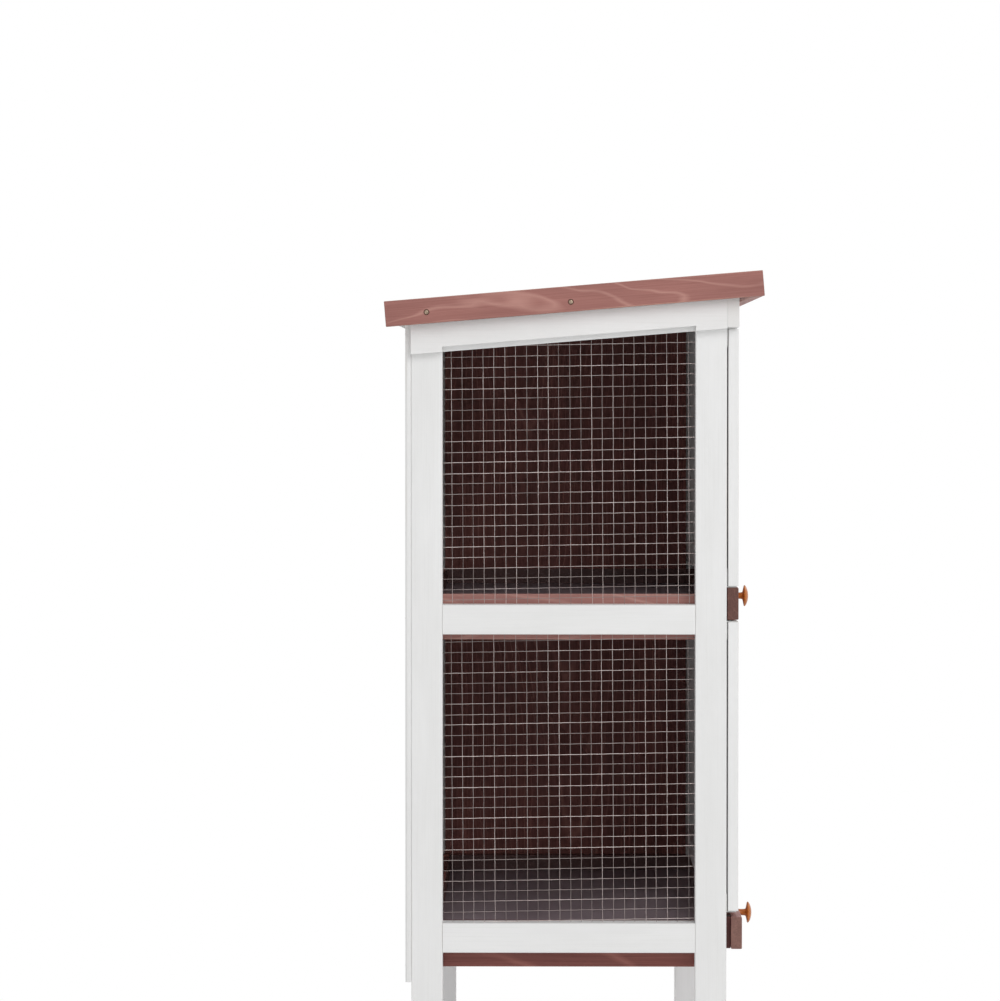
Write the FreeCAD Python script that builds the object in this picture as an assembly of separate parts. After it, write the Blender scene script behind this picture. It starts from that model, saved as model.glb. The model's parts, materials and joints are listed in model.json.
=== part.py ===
import FreeCAD, Part
import math
import os

# Outdoor rabbit cage, millimetres. +Z is up, the doors face -Y, and the meshed side wall is at -X.
# The origin is on the ground under the middle of the cage.

# Overall sizes
overall_width = 900.0
overall_height = 1100.0
lid_length = 446.0
lid_pitch_deg = 4.7
# Length of the lid beyond the side openings: legs, doors, back and overhangs
lid_beyond_openings = 147.0

# Timber of the frame
edge_ease = 0.8
leg_thickness = 30.0
leg_depth = 37.0
side_rail_height = 35.2
middle_rail_level = 670.5
bottom_rail_level = 293.2
top_rail_height = 42.7
top_rail_proud = 12.0
top_rail_lap = 18.0
top_rail_rebate = 6.0
front_rail_depth = 22.0
rear_rail_depth = 20.0
rear_rail_height = 37.0
bottom_front_rail_height = 37.0
middle_front_rail_height = 30.0
sill_height = 26.0
sill_tray_gap = 4.0
tray_rail_gap = 2.0
fascia_height = 43.0
post_width = 37.0
post_strip_width = 30.0

# Walls
back_board_thickness = 7.0
back_board_count = 10
back_board_drop = 35.0
back_board_bevel = 2.0
panel_thickness = 6.0
panel_lap = 14.5
panel_runner_gap = 0.5
panel_groove_width = 4.0
panel_groove_depth = 1.5
panel_groove_pitch = 54.0

# Welded wire mesh
wire_diameter = 0.8
wire_pitch = 12.7
wire_embed = 7.5
kerf_depth = 8.0

# Doors
door_gap = 1.5
door_thickness = 12.5
door_member_width = 37.0
door_edge_inset = 1.0
door_post_gap = 1.5
door_fascia_gap = 1.5
upper_door_tray_gap = 1.8
lower_door_tray_gap = 7.0
lower_door_top_gap = 2.5
door_panel_thickness = 6.0
door_panel_embed = 9.0

# Door pivots
pivot_inset = 3.6
pivot_pin_radius = 1.5
pivot_pin_reach = 10.0
pivot_hole_spare = 0.5
pivot_width = 12.0
pivot_tab_gap = 0.4
pivot_tab_thickness = 0.8
pivot_tab_lead = 4.0
pivot_plate_thickness = 0.6
pivot_plate_height = 22.0

# Trays
upper_tray_level = 688.0
lower_tray_level = 298.0
lower_tray_offset = 4.5
tray_front_height = 38.0
tray_front_thickness = 13.0
tray_lift = 8.0
tray_wall_height = 21.0
tray_sheet_thickness = 1.5
tray_side_clearance = 1.0
tray_rear_gap = 4.5
tray_floor_groove = 5.0
tray_stop_width = 18.0
tray_stop_inset = 8.0
runner_thickness = 15.0
runner_height = 54.0
ledge_width = 12.0
ledge_height = 14.0

# Knobs
knob_spacing = 414.0
knob_projection = 21.0
knob_head_radius = 13.0
knob_head_thickness = 7.5
knob_neck_radius = 4.0
knob_rim_height = 2.0
knob_dome_steps = 3

# Lid
lid_beam_height = 30.0
lid_beam_thickness = 15.0
lid_side_gap = 3.0
lid_panel_recess = 8.5
lid_panel_thickness = 10.0
lid_felt_thickness = 2.0
lid_rear_reach = 17.3

# Lid hinges
lid_hinge_standoff = 4.5
lid_hinge_drop = 6.0
lid_hinge_count = 3
lid_hinge_spacing = 300.0
lid_hinge_length = 60.0
lid_leaf_thickness = 1.4
lid_wall_leaf_height = 28.0
lid_panel_leaf_reach = 15.0
lid_barrel_radius = 3.0
lid_pin_radius = 1.5

# Turn buttons
button_length = 64.0
button_width = 18.0
button_thickness = 7.0
button_standoff = 0.5
button_screw_radius = 2.2
button_screw_depth = 10.0
button_head_radius = 4.5
button_head_height = 2.5

# Clearances shared by all moving pieces
seat_gap = 0.3
running_clearance = 0.05
knuckle_gap = 0.25

# Lid frame: its origin is the hinge axis, y runs down the slope to the rear and z is square to it
pitch = math.radians(lid_pitch_deg)
lid_front_reach = lid_length - lid_rear_reach
lid_underside = lid_hinge_drop
lid_beam_bottom = lid_underside - lid_panel_recess
lid_beam_top = lid_beam_bottom + lid_beam_height
rearmost = lid_rear_reach * math.cos(pitch) + lid_beam_top * math.sin(pitch)
foremost = lid_beam_bottom * math.sin(pitch) - lid_front_reach * math.cos(pitch)
hinge_y = -(rearmost + foremost) / 2
hinge_z = overall_height - lid_front_reach * math.sin(pitch) - lid_beam_top * math.cos(pitch)

# Stations along Y, from the rear to the front
back_outer_y = hinge_y - lid_hinge_standoff
leg_rear_y = back_outer_y - back_board_thickness
rear_rail_front_y = leg_rear_y - rear_rail_depth
opening_rear_y = leg_rear_y - leg_depth
side_opening_depth = lid_length - lid_beyond_openings
opening_front_y = opening_rear_y - side_opening_depth
leg_front_y = opening_front_y - leg_depth
front_rail_rear_y = leg_front_y + front_rail_depth
door_back_y = leg_front_y - door_gap
door_front_y = door_back_y - door_thickness
tray_front_back_y = door_front_y + tray_front_thickness
pivot_y = (door_front_y + door_back_y) / 2

# Stations along X, from the middle outwards
lid_inner_x = overall_width / 2 - lid_beam_thickness
top_rail_outer_x = lid_inner_x - lid_side_gap
leg_outer_x = top_rail_outer_x - top_rail_proud
leg_inner_x = leg_outer_x - leg_thickness
top_rail_inner_x = leg_outer_x - top_rail_lap
runner_inner_x = leg_inner_x - runner_thickness
door_outer_x = leg_outer_x - door_edge_inset
door_inner_x = post_strip_width / 2 + door_post_gap
pivot_x = door_outer_x - pivot_inset

# Stations along Z
middle_rail_top = middle_rail_level + side_rail_height
bottom_rail_top = bottom_rail_level + side_rail_height
back_board_bottom = bottom_rail_level - back_board_drop


def seat_z(y):
    """Height of the plane just under the lid panel, on which the frame's tops are cut."""
    panel_z = hinge_z + lid_underside / math.cos(pitch) + (hinge_y - y) * math.tan(pitch)
    return panel_z - seat_gap


def top_rail_bottom(y):
    """Height of the lower edge of the sloping top rails."""
    return seat_z(y) - top_rail_height


fascia_bottom = seat_z(door_front_y) - fascia_height
upper_door_bottom = upper_tray_level + tray_front_height + upper_door_tray_gap
upper_door_top = fascia_bottom - door_fascia_gap
lower_door_bottom = lower_tray_level + tray_front_height + lower_door_tray_gap
lower_door_top = upper_tray_level - lower_door_top_gap
upper_sill_bottom = upper_tray_level + tray_front_height + sill_tray_gap
lower_sill_bottom = lower_tray_level + tray_front_height + sill_tray_gap
middle_front_rail_top = upper_tray_level - tray_rail_gap
bottom_front_rail_top = lower_tray_level - tray_rail_gap
door_levels = {
    "upper": (upper_door_bottom, upper_door_top),
    "lower": (lower_door_bottom, lower_door_top),
}

X_AXIS = FreeCAD.Vector(1, 0, 0)
Y_AXIS = FreeCAD.Vector(0, 1, 0)
Z_AXIS = FreeCAD.Vector(0, 0, 1)
ORIGIN = FreeCAD.Vector(0, 0, 0)
SIDES = {"left": -1, "right": 1}

nodes = {}


def polygon_face(points):
    """Flat face inside a closed outline of 3-D points."""
    return Part.Face(Part.makePolygon([*points, points[0]]))


def box(x_range, y_range, z_range):
    """Block between two limits on each axis, in either order."""
    low = FreeCAD.Vector(min(x_range), min(y_range), min(z_range))
    high = FreeCAD.Vector(max(x_range), max(y_range), max(z_range))
    size = high - low
    return Part.makeBox(size.x, size.y, size.z, low)


def timber(x_range, y_range, z_range, along):
    """Sawn length of wood: a block whose four long edges are eased."""
    ranges = {"x": x_range, "y": y_range, "z": z_range}
    across = [axis for axis in "xyz" if axis != along]
    low = {axis: min(ranges[axis]) for axis in "xyz"}
    high = {axis: max(ranges[axis]) for axis in "xyz"}
    u, v = across
    outline = [
        (low[u] + edge_ease, low[v]),
        (high[u] - edge_ease, low[v]),
        (high[u], low[v] + edge_ease),
        (high[u], high[v] - edge_ease),
        (high[u] - edge_ease, high[v]),
        (low[u] + edge_ease, high[v]),
        (low[u], high[v] - edge_ease),
        (low[u], low[v] + edge_ease),
    ]
    points = [
        FreeCAD.Vector(*({u: first, v: second, along: low[along]}[axis] for axis in "xyz"))
        for first, second in outline
    ]
    run = FreeCAD.Vector(*(high[along] - low[along] if axis == along else 0 for axis in "xyz"))
    return polygon_face(points).extrude(run)


def side_prism(x_range, outline):
    """Prism across X of an outline given as (y, z) points."""
    face = polygon_face([FreeCAD.Vector(min(x_range), y, z) for y, z in outline])
    return face.extrude(X_AXIS * (max(x_range) - min(x_range)))


def tilted(shape):
    """Carry a shape from the lid's own frame to its closed place on the cage."""
    shape.rotate(ORIGIN, X_AXIS, -lid_pitch_deg)
    shape.translate(FreeCAD.Vector(0, hinge_y, hinge_z))
    return shape


def under_lid(shape):
    """Cut a piece off on the sloping plane under the lid."""
    bounds = shape.BoundBox
    outline = [
        (bounds.YMin, bounds.ZMin),
        (bounds.YMax, bounds.ZMin),
        (bounds.YMax, seat_z(bounds.YMax)),
        (bounds.YMin, seat_z(bounds.YMin)),
    ]
    return shape.common(side_prism((bounds.XMin, bounds.XMax), outline))


def wire(start, end, layer_axis):
    """Straight mesh wire of four sides, with flats facing along the axis that its layers stack on."""
    side = (end - start).normalize().cross(layer_axis)
    half = wire_diameter / 2
    corners = ((-half, -half), (half, -half), (half, half), (-half, half))
    points = [start + layer_axis * across + side * aside for across, aside in corners]
    return polygon_face(points).extrude(end - start)


def evenly(low, high, pitch_length):
    """Places at one pitch, centred between two limits."""
    count = int((high - low) / pitch_length) + 1
    first = (low + high - (count - 1) * pitch_length) / 2
    return [first + index * pitch_length for index in range(count)]


def barrel_piece(foot, axis, length, radius):
    """Length of a rolled hinge barrel, with eight flats in place of its tiny round."""
    side = axis.cross(Y_AXIS)
    corner_radius = radius / math.cos(math.pi / 8)
    points = []
    for corner in range(8):
        angle = (corner + 1 / 2) * math.pi / 4
        offset = Y_AXIS * math.cos(angle) + side * math.sin(angle)
        points.append(foot + offset * corner_radius)
    return polygon_face(points).extrude(axis * length)


def mirrored(shape):
    """The same piece on the other side of the cage."""
    return shape.mirror(ORIGIN, X_AXIS)


# Side frames

mesh_outer_x = -(leg_inner_x + leg_thickness / 2 + wire_diameter)
mesh_inner_x = mesh_outer_x + 2 * wire_diameter


def side_mesh_outline(lower_edge, upper_edge, margin):
    """Outline of a side opening, grown into the kerf by a margin."""
    front = opening_front_y - margin
    rear = opening_rear_y + margin
    return [
        (front, lower_edge - margin),
        (rear, lower_edge - margin),
        (rear, upper_edge(rear) + margin),
        (front, upper_edge(front) + margin),
    ]


def middle_rail_bottom(y):
    """Height of the level edge over the lower opening."""
    return middle_rail_level


side_openings = {
    "upper": (middle_rail_top, top_rail_bottom),
    "lower": (bottom_rail_top, middle_rail_bottom),
}


def mesh_rebate():
    """Strip off the proud face of the left top rail, along its lower edge between the legs."""
    outline = [
        (opening_front_y, top_rail_bottom(opening_front_y)),
        (opening_rear_y, top_rail_bottom(opening_rear_y)),
        (opening_rear_y, top_rail_bottom(opening_rear_y) + top_rail_rebate),
        (opening_front_y, top_rail_bottom(opening_front_y) + top_rail_rebate),
    ]
    return side_prism((-top_rail_outer_x, -leg_outer_x), outline)


def side_frame(side):
    """Two legs and three rails of one side wall; the left one has a rebate and kerfs for its mesh."""
    sign = SIDES[side]
    across = (sign * leg_inner_x, sign * leg_outer_x)
    between = (opening_front_y, opening_rear_y)
    top_rail = side_prism(
        (sign * top_rail_inner_x, sign * top_rail_outer_x),
        [
            (leg_front_y, top_rail_bottom(leg_front_y)),
            (leg_rear_y, top_rail_bottom(leg_rear_y)),
            (leg_rear_y, seat_z(leg_rear_y)),
            (leg_front_y, seat_z(leg_front_y)),
        ],
    )
    pieces = {
        "front_leg": timber(across, (leg_front_y, opening_front_y), (0, overall_height), "z"),
        "rear_leg": timber(across, (opening_rear_y, leg_rear_y), (0, overall_height), "z"),
        "middle_rail": timber(across, between, (middle_rail_level, middle_rail_top), "y"),
        "bottom_rail": timber(across, between, (bottom_rail_level, bottom_rail_top), "y"),
    }
    for leg in ("front_leg", "rear_leg"):
        pieces[leg] = under_lid(pieces[leg]).cut(top_rail)
    pieces["top_rail"] = top_rail
    if side == "left":
        pieces["top_rail"] = top_rail.cut(mesh_rebate())
        for lower_edge, upper_edge in side_openings.values():
            kerf = side_prism(
                (mesh_outer_x, mesh_inner_x),
                side_mesh_outline(lower_edge, upper_edge, kerf_depth),
            )
            pieces = {name: piece.cut(kerf) for name, piece in pieces.items()}
    for name, piece in pieces.items():
        nodes[f"{side}_{name}"] = piece


def side_mesh(lower_edge, upper_edge):
    """Level wires outside and upright wires inside, held in the kerfs of the left frame."""
    level_x = mesh_outer_x + wire_diameter / 2
    upright_x = mesh_inner_x - wire_diameter / 2
    front = opening_front_y - wire_embed
    rear = opening_rear_y + wire_embed
    bottom = lower_edge - wire_embed
    rear_top = upper_edge(rear) + wire_embed
    front_top = upper_edge(front) + wire_embed
    wires = []
    for y in evenly(opening_front_y + wire_pitch / 2, opening_rear_y - wire_pitch / 2, wire_pitch):
        start = FreeCAD.Vector(upright_x, y, bottom)
        end = FreeCAD.Vector(upright_x, y, upper_edge(y) + wire_embed)
        wires.append(wire(start, end, X_AXIS))
    level = lower_edge + wire_pitch / 2
    while level < front_top - wire_diameter:
        reach = rear
        if level > rear_top - wire_diameter:
            reach = front + (rear - front) * (front_top - wire_diameter - level) / (front_top - rear_top)
        if reach > front + wire_pitch:
            start = FreeCAD.Vector(level_x, front, level)
            wires.append(wire(start, FreeCAD.Vector(level_x, reach, level), X_AXIS))
        level += wire_pitch
    return Part.makeCompound(wires)


def grooved_panel(width_range, face, thickness, z_range):
    """Upright boarded sheet: a plan outline with V grooves on the outer side, extruded up.

    The outline is drawn with its width along X and its outer face towards -Y at `face`.
    """
    low, high = width_range
    outline = [(low, face)]
    for place in evenly(low + panel_groove_pitch / 2, high - panel_groove_pitch / 2, panel_groove_pitch):
        outline.append((place - panel_groove_width / 2, face))
        outline.append((place, face + panel_groove_depth))
        outline.append((place + panel_groove_width / 2, face))
    outline += [(high, face), (high, face + thickness), (low, face + thickness)]
    sheet = polygon_face([FreeCAD.Vector(x, y, z_range[0]) for x, y in outline])
    return sheet.extrude(Z_AXIS * (z_range[1] - z_range[0]))


def right_panels():
    """Boarded sheets nailed to the inside of the right frame, above and below the upper runner."""
    width = (opening_front_y - panel_lap, opening_rear_y + panel_lap)
    levels = {
        "upper": (runner_top(upper_tray_level) + panel_runner_gap, overall_height),
        "lower": (
            runner_top(lower_tray_level) + panel_runner_gap,
            runner_top(upper_tray_level) - runner_height - panel_runner_gap,
        ),
    }
    for level, z_range in levels.items():
        sheet = grooved_panel(width, -leg_inner_x, panel_thickness, z_range)
        sheet.rotate(ORIGIN, Z_AXIS, 90)
        nodes[f"right_{level}_panel"] = under_lid(sheet)


# Back wall and cross rails

def back_wall():
    """Upright boards on the outside of the rear legs, with bevels that meet in a V."""
    width = 2 * leg_outer_x / back_board_count
    boards = []
    for index in range(back_board_count):
        low = index * width - leg_outer_x
        outline = [
            (low, leg_rear_y),
            (low + width, leg_rear_y),
            (low + width, back_outer_y - back_board_bevel),
            (low + width - back_board_bevel, back_outer_y),
            (low + back_board_bevel, back_outer_y),
            (low, back_outer_y - back_board_bevel),
        ]
        face = polygon_face([FreeCAD.Vector(x, y, back_board_bottom) for x, y in outline])
        boards.append(under_lid(face.extrude(Z_AXIS * (overall_height - back_board_bottom))))
    nodes["back_boards"] = Part.makeCompound(boards)


def cross_rails():
    """Level rails between the left and right legs, at the rear and at the front."""
    across = (-leg_inner_x, leg_inner_x)
    rear = (rear_rail_front_y, leg_rear_y)
    front = (leg_front_y, front_rail_rear_y)
    rear_bottoms = {
        "bottom": bottom_rail_level - back_board_drop,
        "middle": middle_rail_level,
        "top": seat_z(leg_rear_y) - rear_rail_height,
    }
    for level, bottom in rear_bottoms.items():
        rail = timber(across, rear, (bottom, bottom + rear_rail_height), "x")
        nodes[f"rear_{level}_rail"] = rail
    front_levels = {
        "upper_door_sill": (upper_sill_bottom, upper_sill_bottom + sill_height),
        "front_middle_rail": (middle_front_rail_top - middle_front_rail_height, middle_front_rail_top),
        "lower_door_sill": (lower_sill_bottom, lower_sill_bottom + sill_height),
        "front_bottom_rail": (bottom_front_rail_top - bottom_front_rail_height, bottom_front_rail_top),
    }
    for name, z_range in front_levels.items():
        nodes[name] = timber(across, front, z_range, "x")
    fascia = timber(
        (-top_rail_outer_x, top_rail_outer_x),
        (door_front_y, leg_front_y),
        (fascia_bottom, overall_height),
        "x",
    )
    nodes["front_top_rail"] = under_lid(fascia)


def center_posts():
    """Post between two doors with a face strip that lies flush with the doors."""
    half_post = post_width / 2
    half_strip = post_strip_width / 2
    lower_post_top = middle_front_rail_top - middle_front_rail_height
    levels = {
        "upper": (upper_sill_bottom + sill_height, overall_height, upper_sill_bottom, fascia_bottom),
        "lower": (
            lower_sill_bottom + sill_height,
            lower_post_top,
            lower_sill_bottom,
            middle_front_rail_top,
        ),
    }
    for level, (post_bottom, post_top, strip_bottom, strip_top) in levels.items():
        post = timber(
            (-half_post, half_post), (leg_front_y, front_rail_rear_y), (post_bottom, post_top), "z"
        )
        strip = timber(
            (-half_strip, half_strip), (door_front_y, leg_front_y), (strip_bottom, strip_top), "z"
        )
        hole = Part.makeCylinder(
            button_screw_radius,
            button_screw_depth,
            FreeCAD.Vector(0, door_front_y, button_z(level)),
            Y_AXIS,
        )
        nodes[f"{level}_center_post"] = Part.makeCompound([under_lid(post), strip.cut(hole)])


# Trays and runners

def runner_top(tray_level):
    """Height of the runners' upper edge, level with the tray's walls."""
    return tray_level + tray_lift + tray_wall_height


def tray_runners():
    """Board along each side wall with a ledge that carries the tray."""
    along = (front_rail_rear_y, rear_rail_front_y)
    for level, tray_level in (("upper", upper_tray_level), ("lower", lower_tray_level)):
        top = runner_top(tray_level)
        ledge_top = tray_level + tray_lift - seat_gap
        pieces = []
        for sign in SIDES.values():
            board = (sign * runner_inner_x, sign * leg_inner_x)
            ledge = (sign * (runner_inner_x - ledge_width), sign * runner_inner_x)
            pieces.append(timber(board, along, (top - runner_height, top), "y"))
            pieces.append(timber(ledge, along, (ledge_top - ledge_height, ledge_top), "y"))
        nodes[f"{level}_tray_runners"] = Part.makeCompound(pieces)


def knob(x, y, z):
    """Turned knob: a neck and a flared head with a dome in straight steps, about an axis along -Y."""
    head_start = knob_projection - knob_head_thickness
    rim_end = head_start + knob_rim_height
    dome_height = knob_projection - rim_end
    cap_radius = (knob_head_radius**2 + dome_height**2) / (2 * dome_height)
    cap_center = knob_projection - cap_radius
    rim_angle = math.asin(knob_head_radius / cap_radius)
    profile = [
        (0, 0),
        (knob_neck_radius, 0),
        (knob_neck_radius, head_start),
    ]
    for step in range(knob_dome_steps, -1, -1):
        angle = rim_angle * step / knob_dome_steps
        profile.append((cap_radius * math.sin(angle), cap_center + cap_radius * math.cos(angle)))
    outline = polygon_face([FreeCAD.Vector(radius, -reach, 0) for radius, reach in profile])
    solid = outline.revolve(ORIGIN, Y_AXIS, 360)
    solid.translate(FreeCAD.Vector(x, y, z))
    return solid


def tray(level, tray_level, offset):
    """Slide-out tray: a wooden front with knobs, and a sheet pan whose floor ends in the front's groove."""
    outer_x = runner_inner_x - tray_side_clearance
    inner_x = outer_x - tray_sheet_thickness
    rear_y = rear_rail_front_y - tray_rear_gap
    floor_levels = (tray_level + tray_lift, tray_level + tray_lift + tray_sheet_thickness)
    wall_levels = (floor_levels[1], runner_top(tray_level))
    front = timber(
        (-door_outer_x, door_outer_x),
        (door_front_y, tray_front_back_y),
        (tray_level, tray_level + tray_front_height),
        "x",
    )
    floor = box((-outer_x, outer_x), (tray_front_back_y - tray_floor_groove, rear_y), floor_levels)
    walls = [
        box((sign * inner_x, sign * outer_x), (tray_front_back_y, rear_y), wall_levels)
        for sign in SIDES.values()
    ]
    walls.append(box((-inner_x, inner_x), (rear_y - tray_sheet_thickness, rear_y), wall_levels))
    knob_z = tray_level + tray_front_height / 2
    knobs = [knob(sign * knob_spacing / 2, door_front_y, knob_z) for sign in SIDES.values()]
    pieces = {
        "front": front.cut(floor),
        "walls": Part.makeCompound(walls),
        "floor": floor,
        "knobs": Part.makeCompound(knobs),
    }
    for name, piece in pieces.items():
        piece.translate(FreeCAD.Vector(0, -offset, 0))
        nodes[f"{level}_tray_{name}"] = piece


def tray_stops():
    """Blocks on the front legs against which the lower tray's front closes."""
    low_x = leg_outer_x - tray_stop_inset - tray_stop_width
    front_y = tray_front_back_y - lower_tray_offset + seat_gap
    levels = (lower_tray_level, lower_tray_level + tray_front_height)
    blocks = [
        box((sign * low_x, sign * (low_x + tray_stop_width)), (front_y, leg_front_y), levels)
        for sign in SIDES.values()
    ]
    nodes["lower_tray_stops"] = Part.makeCompound(blocks)


# Doors

def pivot_bar(radius, low, high):
    """Upright round bar on the axis of a left-hand door."""
    return Part.makeCylinder(radius, high - low, FreeCAD.Vector(-pivot_x, pivot_y, low))


def door_frame(z_range):
    """Two stiles and two rails of a left-hand door; the outer stile has a hole for a pin at each end."""
    bottom, top = z_range
    thick = (door_front_y, door_back_y)
    hole_radius = pivot_pin_radius + running_clearance
    hole_depth = pivot_pin_reach + pivot_hole_spare
    holes = [
        pivot_bar(hole_radius, bottom, bottom + hole_depth),
        pivot_bar(hole_radius, top - hole_depth, top),
    ]
    outer_edge = -door_outer_x
    inner_edge = -door_inner_x
    outer_stile = outer_edge + door_member_width
    inner_stile = inner_edge - door_member_width
    return [
        timber((outer_edge, outer_stile), thick, z_range, "z").cut(holes),
        timber((inner_stile, inner_edge), thick, z_range, "z"),
        timber((outer_stile, inner_stile), thick, (bottom, bottom + door_member_width), "x"),
        timber((outer_stile, inner_stile), thick, (top - door_member_width, top), "x"),
    ]


def door_opening(z_range, margin):
    """Limits of a left-hand door's opening, grown into its frame by a margin."""
    bottom, top = z_range
    x_range = (
        -door_outer_x + door_member_width - margin,
        -door_inner_x - door_member_width + margin,
    )
    return x_range, (bottom + door_member_width - margin, top - door_member_width + margin)


door_mesh_front_y = (door_front_y + door_back_y) / 2 - wire_diameter
door_mesh_back_y = door_mesh_front_y + 2 * wire_diameter
door_panel_front_y = (door_front_y + door_back_y - door_panel_thickness) / 2


def door_mesh(z_range):
    """Upright wires in front and level wires behind, held in the door's kerf."""
    upright_y = door_mesh_front_y + wire_diameter / 2
    level_y = door_mesh_back_y - wire_diameter / 2
    clear_x, clear_z = door_opening(z_range, 0)
    held_x, held_z = door_opening(z_range, wire_embed)
    wires = []
    for x in evenly(*clear_x, wire_pitch):
        start = FreeCAD.Vector(x, upright_y, held_z[0])
        wires.append(wire(start, FreeCAD.Vector(x, upright_y, held_z[1]), Y_AXIS))
    for z in evenly(*clear_z, wire_pitch):
        start = FreeCAD.Vector(held_x[0], level_y, z)
        wires.append(wire(start, FreeCAD.Vector(held_x[1], level_y, z), Y_AXIS))
    return Part.makeCompound(wires)


def doors():
    """Meshed doors on the left and boarded doors on the right, on both storeys."""
    for level, z_range in door_levels.items():
        frame = door_frame(z_range)
        kerf_x, kerf_z = door_opening(z_range, kerf_depth)
        kerf = box(kerf_x, (door_mesh_front_y, door_mesh_back_y), kerf_z)
        nodes[f"{level}_left_door_frame"] = Part.makeCompound([member.cut(kerf) for member in frame])
        nodes[f"{level}_left_door_mesh"] = door_mesh(z_range)
        panel_x, panel_z = door_opening(z_range, door_panel_embed)
        panel = grooved_panel(panel_x, door_panel_front_y, door_panel_thickness, panel_z)
        groove = box(panel_x, (door_panel_front_y, door_panel_front_y + door_panel_thickness), panel_z)
        nodes[f"{level}_right_door_frame"] = mirrored(
            Part.makeCompound([member.cut(groove) for member in frame])
        )
        nodes[f"{level}_right_door_panel"] = mirrored(panel)


def door_pivots():
    """Brackets on the front legs, whose pins carry each door at its top and its bottom end."""
    across = (-door_outer_x, pivot_width - door_outer_x)
    brackets = []
    for bottom, top in door_levels.values():
        for door_end, inward in ((bottom, 1), (top, -1)):
            near = door_end - inward * pivot_tab_gap
            far = near - inward * pivot_tab_thickness
            pin_end = door_end + inward * pivot_pin_reach
            tab = box(across, (pivot_y - pivot_tab_lead, leg_front_y), (near, far))
            plate = box(
                across,
                (leg_front_y - pivot_plate_thickness, leg_front_y),
                (far, far + inward * pivot_plate_height),
            )
            pin = pivot_bar(pivot_pin_radius, min(far, pin_end), max(far, pin_end))
            brackets.append(tab.fuse([plate, pin]).removeSplitter())
    nodes["door_pivot_brackets"] = Part.makeCompound(
        brackets + [mirrored(bracket) for bracket in brackets]
    )


# Turn buttons

def button_z(level):
    """Height of a turn button, half-way up its doors."""
    return sum(door_levels[level]) / 2


def turn_buttons():
    """Wooden buttons in front of the center posts, each turning on a screw."""
    back_y = door_front_y - button_standoff
    screws = []
    for level in door_levels:
        z = button_z(level)
        half_straight = (button_length - button_width) / 2
        rounds = [
            Part.makeCylinder(
                button_width / 2, button_thickness, FreeCAD.Vector(0, back_y, z + end), -Y_AXIS
            )
            for end in (-half_straight, half_straight)
        ]
        bar = box(
            (-button_width / 2, button_width / 2),
            (back_y - button_thickness, back_y),
            (z - half_straight, z + half_straight),
        )
        foot = FreeCAD.Vector(0, back_y, z)
        bore = Part.makeCylinder(button_screw_radius + running_clearance, button_thickness, foot, -Y_AXIS)
        nodes[f"{level}_turn_button"] = bar.fuse(rounds).removeSplitter().cut(bore)
        screws.append(button_screw(z, back_y))
    nodes["turn_button_screws"] = Part.makeCompound(screws)


def button_screw(z, back_y):
    """Screw from inside the face strip, through the button, to a flat head in front of it."""
    head_y = back_y - button_thickness - seat_gap
    profile = [
        (0, door_front_y + button_screw_depth),
        (button_screw_radius, door_front_y + button_screw_depth),
        (button_screw_radius, head_y),
        (button_head_radius, head_y),
        (button_head_radius, head_y - button_head_height),
        (0, head_y - button_head_height),
    ]
    outline = polygon_face([FreeCAD.Vector(radius, y, 0) for radius, y in profile])
    solid = outline.revolve(ORIGIN, Y_AXIS, 360)
    solid.translate(FreeCAD.Vector(0, 0, z))
    return solid


# Lid

def lid():
    """Sloping lid: side and front beams round a boarded panel with felt on top, open at the rear."""
    along = (-lid_front_reach, lid_rear_reach)
    heights = (lid_beam_bottom, lid_beam_top)
    front_inner_y = lid_beam_thickness - lid_front_reach
    inside = (-lid_inner_x, lid_inner_x)
    panel_top = lid_underside + lid_panel_thickness
    for side, sign in SIDES.items():
        across = (sign * lid_inner_x, sign * overall_width / 2)
        nodes[f"lid_{side}_beam"] = tilted(timber(across, along, heights, "y"))
    nodes["lid_front_beam"] = tilted(timber(inside, (-lid_front_reach, front_inner_y), heights, "x"))
    cover = (front_inner_y, lid_rear_reach)
    nodes["lid_panel"] = tilted(box(inside, cover, (lid_underside, panel_top)))
    nodes["lid_felt"] = tilted(box(inside, cover, (panel_top, panel_top + lid_felt_thickness)))


fixed_knuckle_shares = ((0, 0.3), (0.7, 1))
moving_knuckle_shares = ((0.3, 0.7),)


def knuckle_spans(base, length, shares):
    """Limits of the barrel pieces along a hinge, with a gap below each one but the first."""
    return [
        (base + length * low_share + (knuckle_gap if low_share else 0), base + length * high_share)
        for low_share, high_share in shares
    ]


def lid_barrel(spans):
    """Barrel pieces on the hinge axis, one for each span along X."""
    return [
        barrel_piece(FreeCAD.Vector(low, 0, 0), X_AXIS, high - low, lid_barrel_radius)
        for low, high in spans
    ]


def lid_pin(x_range, radius):
    """Round bar along a lid hinge."""
    return Part.makeCylinder(radius, lid_hinge_length, FreeCAD.Vector(x_range[0], 0, 0), X_AXIS)


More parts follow.
